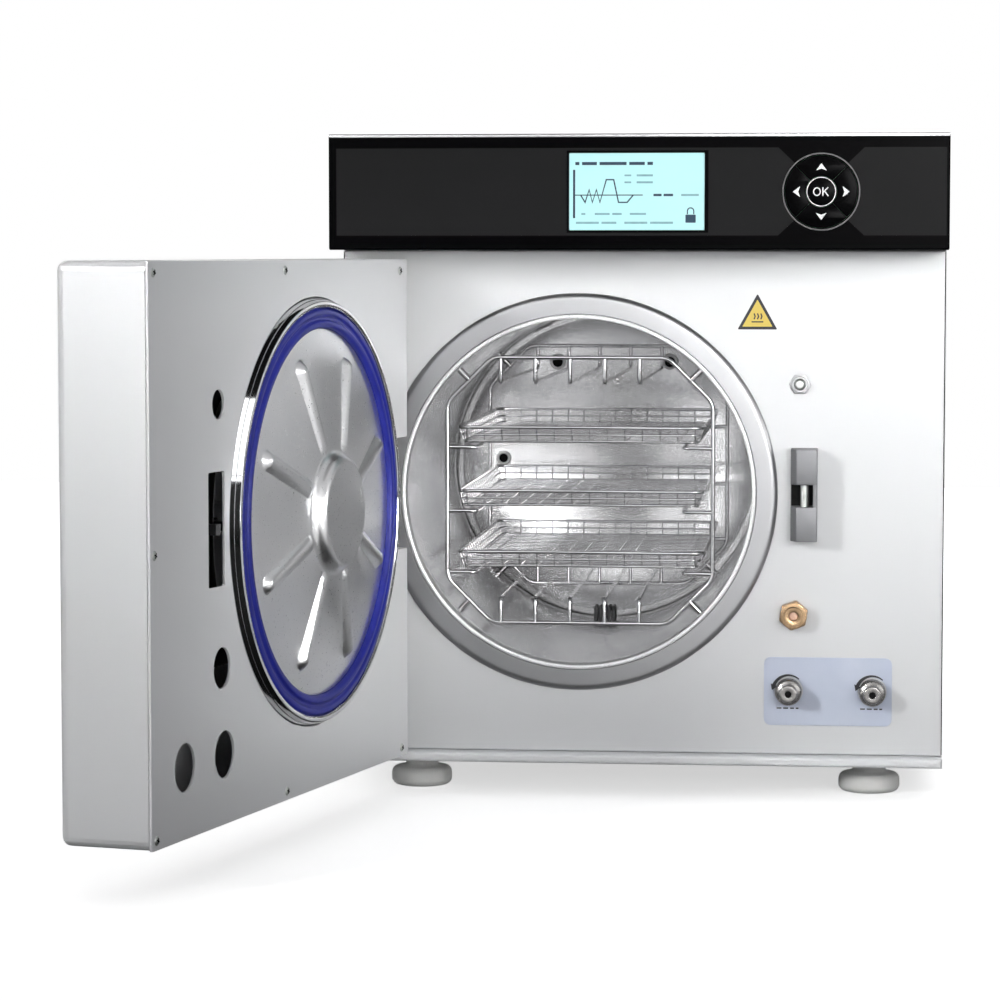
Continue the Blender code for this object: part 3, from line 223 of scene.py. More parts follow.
def glowing_screen():
    """A back-lit dot-matrix screen: small cells in two pale tones, a little clouded."""
    cell = 0.0007
    material = surface("lcd_glow", (0.2, 0.4, 0.42), 0.35, tone=0.03, tone_size=0.05, grain_depth=0.0)
    tree = material.node_tree
    tones = {"Color1": (0.58, 1.0, 1.0, 1.0), "Color2": (0.66, 1.0, 1.0, 1.0)}
    cells = add_node(tree, "TexChecker", Vector=own_coordinates(tree), Scale=1.0 / cell, **tones)
    glow = mixed(tree, noise(tree, own_coordinates(tree), 0.06), cells.outputs["Color"], (0.64, 1.0, 1.0))
    inputs = tree.nodes["Principled BSDF"].inputs
    connect(tree, glow, inputs["Emission Color"])
    connect(tree, 0.42, inputs["Emission Strength"])
    return material


def turned_steel(name, colour, roughness, centre, pitch, depth):
    """Steel faced on a lathe, with fine rings about the chamber's axis."""
    material = surface(name, colour, roughness, 1.0, tone_size=0.05, grain_depth=2e-7, rough_spread=0.02)
    tree = material.node_tree
    place = own_coordinates(tree, Location=-centre)
    rings = add_node(tree, "TexWave", Vector=place, Scale=0.05 / pitch, Distortion=1.5, Detail=2.0)
    rings.wave_type = "RINGS"
    rings.rings_direction = "Y"
    normal = tree.nodes["Principled BSDF"].inputs["Normal"]
    connect(tree, bumped(tree, rings.outputs["Fac"], depth, normal.links[0].from_socket), normal)
    return material


# One finish for each material slot of the record, and those of the scene's own pieces: colour, roughness, metallic,
# tone variation and its size, grain size and depth in metres, and what else surface() takes.
FINISHES = {
    "white_paint": ((0.7, 0.705, 0.715), 0.34, 0.0, 0.015, 0.2, 0.0011, 1.2e-5, {"specular": 0.6}),
    "cream_plastic": ((0.8, 0.8, 0.775), 0.42, 0.0, 0.02, 0.07, 0.0006, 3e-5, {}),
    "rubber_white": ((0.85, 0.85, 0.83), 0.55, 0.0, 0.03, 0.07, 0.0007, 4e-5, {}),
    "dark_plastic": ((0.03, 0.03, 0.033), 0.42, 0.0, 0.12, 0.07, 0.0007, 3e-5, {}),
    "red_plastic": ((0.52, 0.03, 0.022), 0.3, 0.0, 0.06, 0.07, 0.0007, 1e-5, {}),
    "clear_tank": ((0.72, 0.8, 0.83), 0.26, 0.0, 0.03, 0.07, 0.001, 1e-5, {}),
    "blue_silicone": ((0.013, 0.018, 0.21), 0.38, 0.0, 0.08, 0.03, 0.0007, 8e-6, {"specular": 0.28}),
    "mineral_wool": ((0.62, 0.57, 0.44), 0.95, 0.0, 0.2, 0.012, 0.0012, 8e-4, {"grain": (1.0, 0.2, 1.0)}),
    "board_green": ((0.02, 0.16, 0.06), 0.35, 0.0, 0.25, 0.004, 0.0015, 3e-5, {}),
    # Near-black for plugs and sheets put in bores, a recess, gaps and screw slots: painted shade. The cards seen only
    # in reflections use it too.
    "painted_shade_black": ((0.004, 0.004, 0.004), 0.6, 0.0, 0.2, 0.003, 0.0005, 1e-5, {"specular": 0.1}),
    "pale_blue": ((0.53, 0.58, 0.71), 0.36, 0.0, 0.03, 0.06, 0.0006, 4e-6, {"tint": (0.6, 0.64, 0.75)}),
    "mark_white": ((0.82, 0.83, 0.84), 0.4, 0.0, 0.02, 0.07, 0.0004, 2e-6, {}),
    "mark_grey": ((0.045, 0.045, 0.047), 0.35, 0.0, 0.04, 0.07, 0.0004, 2e-6, {}),
    "mark_black": ((0.01, 0.01, 0.014), 0.45, 0.0, 0.2, 0.07, 0.0004, 2e-6, {}),
    "mark_yellow": ((0.6, 0.44, 0.06), 0.4, 0.0, 0.03, 0.07, 0.0005, 3e-6, {}),
    "screen_ink": ((0.035, 0.065, 0.1), 0.5, 0.0, 0.1, 0.004, 0.0004, 1e-6, {"specular": 0.1}),
    "screen_faint": ((0.22, 0.42, 0.46), 0.5, 0.0, 0.1, 0.004, 0.0004, 1e-6, {"specular": 0.1}),
    # Near-white, half-metallic steel for the bead at the chamber's mouth: a painted highlight.
    "painted_highlight_steel": ((0.95, 0.95, 0.955), 0.3, 0.35, 0.02, 0.02, 0.0008, 5e-7, {}),
    "mirror_steel": ((0.8, 0.805, 0.815), 0.07, 1.0, 0.02, 0.07, 0.0012, 1e-7, {"rough_spread": 0.02}),
    # Near-black steel for the door's carrier and latch hook, inside the door: painted shade.
    "painted_shade_steel": ((0.035, 0.035, 0.037), 0.45, 0.8, 0.1, 0.01, 0.0006, 4e-6, {}),
    "wire_steel": ((0.7, 0.7, 0.71), 0.15, 1.0, 0.04, 0.02, 0.0006, 4e-6, {}),
    "lock_steel": ((0.21, 0.21, 0.22), 0.45, 0.6, 0.04, 0.02, 0.0005, 4e-6, {}),
    "nozzle_steel": ((0.34, 0.33, 0.32), 0.25, 1.0, 0.05, 0.02, 0.0005, 3e-6, {}),
    "satin_steel": ((0.43, 0.433, 0.44), 0.33, 1.0, 0.05, 0.02, 0.0005, 4e-6, {"grain": (1.0, 1.0, 0.06)}),
    "zinc_steel": ((0.5, 0.52, 0.5), 0.42, 1.0, 0.12, 0.006, 0.0005, 8e-6, {}),
    "olive_steel": ((0.3, 0.305, 0.27), 0.42, 0.6, 0.1, 0.02, 0.0007, 1e-5, {}),
    "aluminium": ((0.74, 0.75, 0.76), 0.34, 1.0, 0.05, 0.07, 0.0008, 6e-6, {"grain": (0.05, 1.0, 1.0)}),
    "brass": ((0.5, 0.34, 0.2), 0.26, 1.0, 0.12, 0.006, 0.0004, 6e-6, {}),
    "copper": ((0.75, 0.5, 0.38), 0.32, 0.5, 0.08, 0.004, 0.0004, 3e-6, {}),
    "black_gloss": (
        (0.0013, 0.0013, 0.0016), 0.22, 0.0, 0.2, 0.07, 0.002, 1e-6, {"rough_spread": 0.03, "specular": 0.015},
    ),
    "band_grey": (
        (0.0122, 0.0122, 0.0127), 0.3, 0.0, 0.05, 0.07, 0.0004, 4e-6, {"rough_spread": 0.04, "specular": 0.03},
    ),
    "panel_steel": (
        (0.66, 0.665, 0.675), 0.36, 0.2, 0.012, 0.3, 0.0006, 1.2e-6, {"grain": (0.02, 1.0, 1.0), "rough_spread": 0.03},
    ),
    "pressed_steel": (
        (0.88, 0.882, 0.89), 0.3, 1.0, 0.02, 0.07, 0.0012, 2e-7, {"rough_spread": 0.03, "wave": (0.07, 0.0005)},
    ),
    "polished_steel": (
        (0.95, 0.95, 0.955), 0.19, 1.0, 0.02, 0.07, 0.0016, 2e-7,
        {"grain": (1.0, 0.03, 1.0), "rough_spread": 0.04, "wave": (0.075, 0.0009)},
    ),
}


def make_materials():
    made = {name: surface(name, *finish[:-1], **finish[-1]) for name, finish in FINISHES.items()}
    made["screen_glass"] = glowing_screen()
    made["flange_steel"] = turned_steel("flange_steel", (0.38, 0.382, 0.39), 0.36, AXIS + ORIGIN, 0.0011, 8e-7)
    return made


# Outlines and meshes, in cabinet coordinates


def soften(points, radius, steps=5, closed=False):
    """Rounds the corners of a run of points. radius is one number, or one for each point."""
    points = [Vector(point) for point in points]
    radii = radius if isinstance(radius, (list, tuple)) else [radius] * len(points)
    out = []
    for index, (here, size) in enumerate(zip(points, radii)):
        last = index in (0, len(points) - 1) and not closed
        if last or size <= 0:
            out.append(here)
            continue
        before, after = points[index - 1] - here, points[(index + 1) % len(points)] - here
        start = here + before.normalized() * min(size, before.length * 0.49)
        end = here + after.normalized() * min(size, after.length * 0.49)
        for step in range(steps + 1):
            t = step / steps
            out.append(start * (1 - t) ** 2 + here * (2 * t * (1 - t)) + end * t**2)
    return out


def polar(radius, angle):
    return Vector((radius * cos(angle), radius * sin(angle)))


def circle(x, z, radius, steps=ROUND, start=0.0, end=360.0):
    """Points round a circle, or along part of one with its end point."""
    whole = abs(end - start) >= 360
    turns = [start + (end - start) * step / steps for step in range(steps + (not whole))]
    return [Vector((x, z)) + polar(radius, radians(turn)) for turn in turns]


def rectangle(left, right, low, high, radius=0.0, steps=5):
    return soften([(right, high), (left, high), (left, low), (right, low)], radius, steps, closed=True)


def hexagon(centre, radius, corner, steps, turn=0.0):
    """A nut's outline, on a centre's x and z."""
    points = [centre.xz + polar(radius, pi / 3 * side + turn) for side in range(6)]
    return soften(points, corner, steps, closed=True)


def turned(bm, profile, centre, along="Y", steps=ROUND, ring=False, shape=None):
    """Turns (radius, distance) points about Y or Z. shape(angle, radius, distance) may move each of them."""
    first, second, axis = Vector((1, 0, 0)), Vector((0, 0, 1)), Vector((0, 1, 0))
    if along == "Z":
        second, axis = axis, second
    flat = Vector(centre)
    flat -= axis * flat.dot(axis)
    rings = []
    for radius, distance in profile:
        made = []
        for step in range(steps if radius >= MERGE else 1):
            angle = 2 * pi * step / steps
            out, up = shape(angle, radius, distance) if shape else (radius, distance)
            made.append(bm.verts.new(flat + axis * up + (first * cos(angle) + second * sin(angle)) * out))
        rings.append(made)
    pairs = list(zip(rings, rings[1:])) + ([(rings[-1], rings[0])] if ring else [])
    for lower, upper in pairs:
        for step in range(steps):
            after = (step + 1) % steps
            corners = [lower[step % len(lower)], lower[after % len(lower)]]
            corners += [upper[after % len(upper)], upper[step % len(upper)]]
            corners = list(dict.fromkeys(corners))
            if len(corners) > 2:
                bm.faces.new(corners)
    return bm


def new_curve(dimensions, fill, runs, closed):
    """A curve of straight runs of points."""
    curve = bpy.data.curves.new("helper", "CURVE")
    curve.dimensions = dimensions
    curve.fill_mode = fill
    for run in runs:
        spline = curve.splines.new("POLY")
        spline.points.add(len(run) - 1)
        for point, place in zip(spline.points, run):
            point.co = (*place, 1.0) if len(place) == 3 else (*place, 0.0, 1.0)
        spline.use_cyclic_u = closed
    return curve


def add_mesh(bm, curve):
    """Adds a curve's solid to a bmesh, and removes the curve."""
    helper = bpy.data.objects.new("helper", curve)
    bpy.context.scene.collection.objects.link(helper)
    bpy.context.view_layer.update()
    graph = bpy.context.evaluated_depsgraph_get()
    mesh = bpy.data.meshes.new_from_object(helper.evaluated_get(graph))
    bpy.data.objects.remove(helper)
    bpy.data.curves.remove(curve)
    before = len(bm.verts)
    bm.from_mesh(mesh)
    bpy.data.meshes.remove(mesh)
    bm.verts.ensure_lookup_table()
    return bm.verts[before:]


def plate(bm, loops, front, back, bevel=0.0, along="Y", bevel_steps=2):
    """A flat plate with an outline and holes, and rounded edges, between two places on its axis, Y or Z."""
    curve = new_curve("2D", "BOTH", loops, True)
    curve.extrude = abs(back - front) / 2 - bevel
    curve.bevel_depth = bevel
    curve.bevel_resolution = bevel_steps
    curve.offset = -bevel
    verts = add_mesh(bm, curve)
    turn = Matrix.Rotation(pi / 2 if along == "Y" else 0.0, 4, "X")
    middle = Vector((0, 0, 0))
    middle["XYZ".index(along)] = (front + back) / 2
    bmesh.ops.transform(bm, matrix=Matrix.Translation(middle) @ turn, verts=verts)
    return bm


def wires(bm, runs, radius, closed=False, sides=4):
    """Round wires along runs of points."""
    curve = new_curve("3D", "FULL", runs, closed)
    curve.bevel_depth = radius
    curve.bevel_resolution = sides
    curve.use_fill_caps = True
    add_mesh(bm, curve)
    return bm


def stroke(points, width, closed=False):
    """The outline, or for a closed run the two outlines, of a flat line of a given width."""
    points = [Vector(point) for point in points]
    count = len(points)
    sides = ([], [])
    for index, point in enumerate(points):
        behind = point - points[index - 1]
        ahead = points[(index + 1) % count] - point
        if not closed and index == 0:
            behind = ahead
        if not closed and index == count - 1:
            ahead = behind
        behind, ahead = behind.normalized(), ahead.normalized()
        mitre = (Vector((-behind.y, behind.x)) + Vector((-ahead.y, ahead.x))).normalized()
        reach = width / 2 / max(mitre.dot(Vector((-ahead.y, ahead.x))), 0.45)
        sides[0].append(point + mitre * reach)
        sides[1].append(point - mitre * reach)
    if closed:
        return list(sides)
    return [sides[0] + sides[1][::-1]]


def piece(name, bm, material, replaces=None, body="cabinet", angle=35.0):
    """A finished piece, which rides on a CAD body and may replace a CAD node."""
    bmesh.ops.remove_doubles(bm, verts=bm.verts, dist=MERGE)
    bmesh.ops.recalc_face_normals(bm, faces=bm.faces)
    mesh = bpy.data.meshes.new(name)
    bm.to_mesh(mesh)
    bm.free()
    mesh.transform(DOOR if body in DOOR_BODIES else FIXED)
    mesh.shade_smooth()
    mesh.set_sharp_from_angle(angle=radians(angle))
    mesh.materials.append(MATERIALS[material])
    obj = bpy.data.objects.new(name, mesh)
    bpy.context.scene.collection.objects.link(obj)
    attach(obj, body)
    if replaces:
        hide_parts(replaces)


def marks(name, outlines, front, material, body="cabinet", depth=PRINT):
    """Printed marks that stand a hair proud of the face behind them."""
    bm = bmesh.new()
    for loops in outlines:
        plate(bm, loops, front - depth, front)
    piece(name, bm, material, body=body)


OTHER_FINISHES = {
    "front_panel": "panel_steel", "door_cover": "panel_steel", "rear_panel": "panel_steel",
    # The latch hook and door carrier sit inside the door; their near-black steel is painted shade.
    "latch_hook": "painted_shade_steel", "door_carrier": "painted_shade_steel", "base_pan": "mark_white",
}


def dress_cad():
    """Gives every CAD node the finish of its material slot, or one that suits it better."""
    for row in frame["record"]["subparts"]:
        finish = OTHER_FINISHES.get(row["node"], row["material_slot"])
        materials = frame["nodes"][row["node"]].data.materials
        materials.clear()
        materials.append(MATERIALS[finish])


# Chamber


def dish_depth(x, z):
    """How deep the dished end lies at a point, in cabinet coordinates."""
    out = hypot(x - AXIS.x, z - AXIS.z) / BORE
    return STRAIGHT + DISH * sqrt(max(1 - out * out, 0.0))


def make_chamber():
    """The shell with its dished end, and the rims of its ports, with black plugs in their bores as painted shade."""
    steps = 24
    dish = [(sin(pi / 2 * i / steps), cos(pi / 2 * i / steps)) for i in range(steps + 1)]
    profile = [(BORE * r, STRAIGHT + DISH * y) for r, y in dish]
    profile += [(BORE - 0.0005, STRAIGHT - 0.0015), (BORE, STRAIGHT - 0.0035), (BORE, MOUTH)]
    profile += [(BORE + WALL, MOUTH)]
    profile += [((BORE + WALL) * r, STRAIGHT + (DISH + WALL) * y) for r, y in reversed(dish)]
    bm = turned(bmesh.new(), profile, AXIS, steps=WIDE)
    piece("chamber_shell", bm, "polished_steel", "chamber", angle=50)

    rims, holes = bmesh.new(), bmesh.new()
    rim_width, proud, sunk, corner = 0.0022, 0.0035, 0.004, 0.0008
    for x, z, radius in PORTS:
        wall = dish_depth(x, z)
        rim = [(radius, wall + sunk), (radius, wall - proud), (radius + rim_width, wall - proud)]
        rim.append((radius + rim_width + 0.0004, wall + sunk))
        turned(rims, soften(rim, corner), (x, 0, z), steps=32, ring=True)
        # Black plugs inside the ports' bores: painted shade.
        plug, near, far = radius + 0.0003, wall - 0.0024, wall + 0.002
        turned(holes, [(0, near), (plug, near), (plug, far), (0, far)], (x, 0, z), steps=32)
    piece("chamber_ports", rims, "satin_steel")
    piece("chamber_port_bores", holes, "painted_shade_black")


def make_strainer():
    """A block with slots between its upright ribs."""
    low, high = box("drain_strainer")
    ribs, gap = 5, 0.0004
    pitch = (high.x - low.x) / ribs
    bm = bmesh.new()
    for rib in range(ribs):
        left = low.x + pitch * rib
        plate(bm, [rectangle(left + gap, left + pitch - gap, low.z, high.z, 0.0015)], low.y, high.y, 0.0005)
    core = rectangle(low.x + 0.0006, high.x - 0.0006, low.z + 0.003, high.z - 0.0035, 0.001)
    plate(bm, [core], low.y + 0.001, high.y - 0.001, 0.0003)
    piece("strainer_cage", bm, "dark_plastic", "drain_strainer")


def make_flange():
    """The ring round the chamber's mouth, and the bead along its inner edge, whose near-white steel is a painted
    highlight.
    """
    low, high = box("chamber_flange")
    outer = (high.x - low.x) / 2
    neck = 0.1385
    face, back, seat = low.y, high.y, -0.0003
    inner = [(BORE, back), (BORE, face + 0.0014), (BORE + 0.0026, face + 0.0014), (BORE + 0.0036, face + 0.0003)]
    profile = soften(inner, [0, 0.0004, 0.0004, 0.0003])
    shoulder = [(sin(a), cos(a)) for a in (pi / 2 * step / 12 for step in range(13))]
    drop = seat - 0.0003 - (face + 0.0004)
    profile += [(outer - 0.0048 + 0.0048 * r, face + 0.0004 + drop * (1 - y)) for r, y in shoulder]
    profile += [(outer, seat), (neck, seat), (neck, back)]
    bm = turned(bmesh.new(), profile, AXIS, steps=WIDE, ring=True)
    piece("flange_ring", bm, "flange_steel", "chamber_flange", angle=28)
    bead = [(BORE + 0.0001, face + 0.0016), (BORE + 0.0001, face), (BORE + 0.0009, face - 0.0004)]
    bead += [(BORE + 0.0022, face - 0.0004), (BORE + 0.003, face + 0.0002), (BORE + 0.003, face + 0.0016)]
    bm = turned(bmesh.new(), soften(bead, 0.0005, closed=True), AXIS, steps=WIDE, ring=True)
    piece("flange_bead", bm, "painted_highlight_steel", angle=50)


def make_rack():
    """Two octagonal end frames, joined by the trays' rails and by the dividers above and below."""
    cut, bend = RACK_HALF - RACK_CHAMFER, 0.004
    octagon = [(cut, RACK_HALF), (RACK_HALF, cut), (RACK_HALF, -cut), (cut, -RACK_HALF)]
    octagon += [(-x, -z) for x, z in octagon]
    bm = bmesh.new()
    loops = [[(AXIS.x + x, y, AXIS.z + z) for x, z in octagon] for y in (RACK_FRONT, RACK_BACK)]
    wires(bm, [soften(loop, 0.006, closed=True) for loop in loops], WIRE, closed=True, sides=5)
    runs = []
    for side in (-1, 1):
        x_out, x_in = AXIS.x + side * RACK_HALF, AXIS.x + side * (RACK_HALF - RAIL_INSET)
        for z in RAILS_Z:
            run = [(x_out, RACK_FRONT, z), (x_in, RACK_FRONT, z), (x_in, RACK_BACK, z), (x_out, RACK_BACK, z)]
            runs.append(soften(run, bend))
        z_out, z_in = AXIS.z + side * RACK_HALF, AXIS.z + side * (RACK_HALF - DIVIDER_DROP)
        for wire in range(DIVIDERS):
            x = AXIS.x + DIVIDER_FIRST + DIVIDER_PITCH * wire
            run = [(x, RACK_FRONT, z_out), (x, RACK_FRONT, z_in), (x, RACK_BACK, z_in), (x, RACK_BACK, z_out)]
            runs.append(soften(run, bend))
    wires(bm, runs, WIRE * 0.9, sides=4)
    # Studs from the chamfers to the chamber's wall
    near, far = (RACK_HALF + cut) / 2, (BORE - 0.001) / sqrt(2)
    quarters = [(y, sx, sz) for y in (RACK_FRONT, RACK_BACK) for sx in (-1, 1) for sz in (-1, 1)]
    studs = [[(AXIS.x + sx * r, y, AXIS.z + sz * r) for r in (near, far)] for y, sx, sz in quarters]
    wires(bm, studs, 0.0022, sides=5)
    piece("rack_frame", bm, "wire_steel", "chamber_rack", body="rack", angle=60)


def make_tray(name):
    """A wire basket: a stout rim, thin wires down its sides and across its floor, and two thin hoops."""
    low, high = box(f"tray_{name}")
    rim, thin, bend, margin = 0.0013, 0.00062, 0.0022, 0.006
    left, right, front, back = low.x + rim, high.x - rim, low.y + rim, high.y - rim
    top, floor = high.z - rim, low.z + 2 * thin
    taper = 0.0035

    def hoop(height, inset, radius):
        corners = [(left + inset, front + inset), (right - inset, front + inset)]
        corners += [(right - inset, back - inset), (left + inset, back - inset)]
        return soften([(x, y, height) for x, y in corners], radius, 6, closed=True)

    bm = wires(bmesh.new(), [hoop(top, 0.0, 0.008)], rim, closed=True, sides=5)
    middle = (top + floor) / 2
    wires(bm, [hoop(middle, taper / 2, 0.007), hoop(floor + thin, taper, 0.006)], thin * 1.25, closed=True, sides=3)
    runs = []
    across, down = 14, 22
    pitch_x = (right - left - 2 * margin) / (across - 1)
    pitch_y = (back - front - 2 * margin) / (down - 1)
    for wire in range(across):
        x = left + margin + pitch_x * wire
        run = [(x, front, top), (x, front + taper, floor), (x, back - taper, floor), (x, back, top)]
        runs.append(soften(run, bend))
    for wire in range(down):
        y = front + margin + pitch_y * wire
        run = [(left, y, top), (left + taper, y, floor), (right - taper, y, floor), (right, y, top)]
        runs.append(soften(run, bend))
    wires(bm, runs, thin, sides=2)
    piece(f"basket_{name}", bm, "wire_steel", f"tray_{name}", body=f"tray_{name}", angle=60)


# Control head


def make_screen():
    """The lit display, with a generic trace, dashes in place of words and a padlock."""
    left, right, low, high = SCREEN_LOW.x, SCREEN_HIGH.x, SCREEN_LOW.z, SCREEN_HIGH.z
    front = SCREEN_LOW.y
    bm = plate(bmesh.new(), [rectangle(left, right, low, high, 0.0008)], front, SCREEN_HIGH.y, 0.0002)
    piece("lcd_screen", bm, "screen_glass", "display_module", angle=FLAT)
    width, height = right - left, high - low

    def at(u, v):
        return (left + width * u, high - height * v)

    def bar(u0, u1, v, thick):
        return [rectangle(*sorted((at(u0, 0)[0], at(u1, 0)[0])), at(0, v)[1] - thick / 2, at(0, v)[1] + thick / 2)]

    trace = [(0.085, 0.545), (0.118, 0.64), (0.148, 0.475), (0.172, 0.64), (0.202, 0.475), (0.228, 0.64)]
    trace += [(0.275, 0.345), (0.33, 0.345), (0.366, 0.64), (0.43, 0.64), (0.475, 0.545)]
    lines = [bar(0.028, 0.044, 0.53, 0.0335), bar(0.044, 0.545, 0.545, 0.0007)]
    lines.append(stroke([at(u, v) for u, v in trace], 0.0009))
    for u0, u1 in ((0.045, 0.075), (0.095, 0.205), (0.225, 0.425), (0.445, 0.56), (0.58, 0.62)):
        lines.append(bar(u0, u1, 0.135, 0.0021))
    lines += [bar(0.625, 0.685, 0.545, 0.0016), bar(0.7, 0.77, 0.545, 0.0016)]
    lines.append([rectangle(at(0.862, 0)[0], at(0.938, 0)[0], at(0, 0.905)[1], at(0, 0.8)[1], 0.0006)])
    x, z = at(0.9, 0.795)
    shackle = [(x - 0.0022, z)] + circle(x, z + 0.0022, 0.0022, 12, 180, 0) + [(x + 0.0022, z)]
    lines.append(stroke(shackle, 0.0008))
    marks("lcd_trace", lines, front, "screen_ink")
    faint = [bar(0.41, 0.46, v, 0.0012) for v in (0.29, 0.38)] + [bar(0.5, 0.62, v, 0.0014) for v in (0.29, 0.38)]
    faint += [bar(0.83, 0.96, 0.545, 0.0014)]
    for u0, u1 in ((0.09, 0.12), (0.19, 0.3), (0.32, 0.39), (0.45, 0.57)):
        faint.append(bar(u0, u1, 0.79, 0.0014))
    for u0, u1 in ((0.05, 0.22), (0.24, 0.35), (0.41, 0.58), (0.6, 0.77)):
        faint.append(bar(u0, u1, 0.905, 0.0015))
    marks("lcd_readings", faint, front, "screen_faint")


def make_head():
    """The dark band printed on the fascia, notched above and below the keys, and the trim along its top."""
    left, right, low, high = BAND
    bite, shoulder, half_arc, margin = 0.0272, 0.0296, 47, 0.0018
    arc_left = circle(KEYS.x, KEYS.z, bite, 40, 180 - half_arc, 180 + half_arc)
    arc_right = circle(KEYS.x, KEYS.z, bite, 40, -half_arc, half_arc)
    outline = [(left, low), (left, high), (KEYS.x - shoulder, high), *arc_left, (KEYS.x - shoulder, low)]
    window = [SCREEN_LOW.x - margin, SCREEN_HIGH.x + margin * 1.6, SCREEN_LOW.z - margin, SCREEN_HIGH.z + margin]
    second = [(KEYS.x + shoulder, low), *arc_right, (KEYS.x + shoulder, high), (right, high), (right, low)]
    marks("fascia_band", [[outline, rectangle(*window)], [second]], FACE, "band_grey")
    ring = [circle(KEYS.x, KEYS.z, radius, 96) for radius in (0.0269, 0.0259)]
    marks("fascia_ring", [ring], FACE, "mark_grey", depth=0.0002)
    trim = rectangle(-HALF_WIDTH + 0.0002, HALF_WIDTH - 0.0002, HEAD_HIGH - 0.0021, HEAD_HIGH + 0.0003, 0.0008)
    bm = plate(bmesh.new(), [trim], FACE - 0.0004, FACE + 0.004, 0.0003)
    piece("head_trim", bm, "satin_steel")
    line = rectangle(-HALF_WIDTH + 0.0004, HALF_WIDTH - 0.0004, HEAD_HIGH - 0.0003, HEAD_HIGH + 0.0002)
    bm = plate(bmesh.new(), [line], FACE - 0.0006, FACE - 0.0003)
    piece("head_trim_line", bm, "mark_black")


def make_keys():
    """Four arrow keys round the OK key, each with its mark."""
    gap, reach, bevel = 0.0002, 0.017, 0.00015
    front, back = box("ok_key")[0].y, box("ok_key")[1].y
    arrow = [(0.0026, 0.0), (-0.0024, 0.0037), (-0.0011, 0.0), (-0.0024, -0.0037)]
    for turn, name in enumerate(("right", "up", "left", "down")):
        middle = 90.0 * turn
        slack = degrees(gap / KEYS_RADIUS)
        outline = circle(KEYS.x, KEYS.z, KEYS_RADIUS - 0.0004, 28, middle - 45 + slack, middle + 45 - slack)
        slack = degrees(gap / OK_RADIUS)
        outline += circle(KEYS.x, KEYS.z, OK_RADIUS + 0.0004, 14, middle + 45 - slack, middle - 45 + slack)
        bm = plate(bmesh.new(), [outline], front, back, bevel)
        piece(f"key_cap_{name}", bm, "black_gloss", f"arrow_key_{name}", body=f"key_{name}")
        angle = radians(middle)
        tip = [KEYS.xz + polar(x + reach, angle) + polar(z, angle + pi / 2) for x, z in arrow]
        arrows = [[soften(tip, 0.0004, 3, closed=True)]]
        marks(f"key_arrow_{name}", arrows, front, "mark_white", body=f"key_{name}")
    bm = plate(bmesh.new(), [circle(KEYS.x, KEYS.z, OK_RADIUS - 0.0001, 96)], front, back, bevel)
    piece("key_cap_ok", bm, "black_gloss", "ok_key", body="ok_key")
    ring = [circle(KEYS.x, KEYS.z, radius, 96) for radius in (0.0102, 0.0096)]
    size, thick = 0.003, 0.0008
    x = KEYS.x - 0.003
    letter_o = [[(p.x * 0.88 + x * 0.12, p.y) for p in circle(x, KEYS.z, r, 40)] for r in (size, size - thick)]
    stem = KEYS.x + 0.0011
    letter_k = [
        [rectangle(stem - thick / 2, stem + thick / 2, KEYS.z - size, KEYS.z + size)],
        stroke([(stem + 0.0003, KEYS.z - 0.0004), (stem + 0.0036, KEYS.z + size)], thick),
        stroke([(stem + 0.001, KEYS.z + 0.0004), (stem + 0.0038, KEYS.z - size)], thick),
    ]
    marks("ok_print", [ring, letter_o, *letter_k], front, "mark_white", body="ok_key")


# Front fittings


def make_lock():
    """The lock's housing: a block with a chamfered left side, and a window that the door's hook enters."""
    left, right, face, back = LOCK_LOW.x, LOCK_HIGH.x, LOCK_LOW.y, LOCK_HIGH.y
    chamfer = 0.0042
    low, high = LOCK_WINDOW
    section = [(left, back), (left, face + chamfer * 1.6), (left + chamfer, face), (right, face), (right, back)]
    section = soften(section, [0, 0.0008, 0.0008, 0.001, 0], 4)
    bm = bmesh.new()
    for bottom, top in ((LOCK_LOW.z, low), (high, LOCK_HIGH.z)):
        plate(bm, [section], bottom, top, 0.0005, along="Z")
    recess = -0.011
    plate(bm, [[(left, back), (left, recess), (right, recess), (right, back)]], low - 0.001, high + 0.001, along="Z")
    inner, outer, top = right - 0.003, right - 0.0003, face + 0.0006
    wall = soften([(inner, recess), (inner, top), (outer, top), (outer, recess)], 0.0004)
    plate(bm, [wall], low - 0.001, high + 0.001, along="Z")
    piece("lock_block", bm, "lock_steel", "lock_housing")
    # A black plate at the back of the hook's recess: painted shade.
    floor = rectangle(left + 0.0004, right - 0.0032, low + 0.0002, high - 0.0002)
    bm = plate(bmesh.new(), [floor], recess - 0.0004, recess - 0.0001)
    piece("lock_recess", bm, "painted_shade_black")


def knurl(count, depth, start, end):
    """A shape for turned(), whose radius ripples round a stretch of the axis."""

    def shape(angle, radius, distance):
        if start <= distance <= end:
            radius -= depth * (0.5 + 0.5 * cos(count * angle))
        return radius, distance

    return shape


def thread(crest, root, start, turns, pitch=0.0009):
    """The profile of a thread, cut as rings."""
    places = [start + pitch * turn for turn in range(turns)]
    return [point for place in places for point in ((crest, place), (root, place + pitch / 2))]


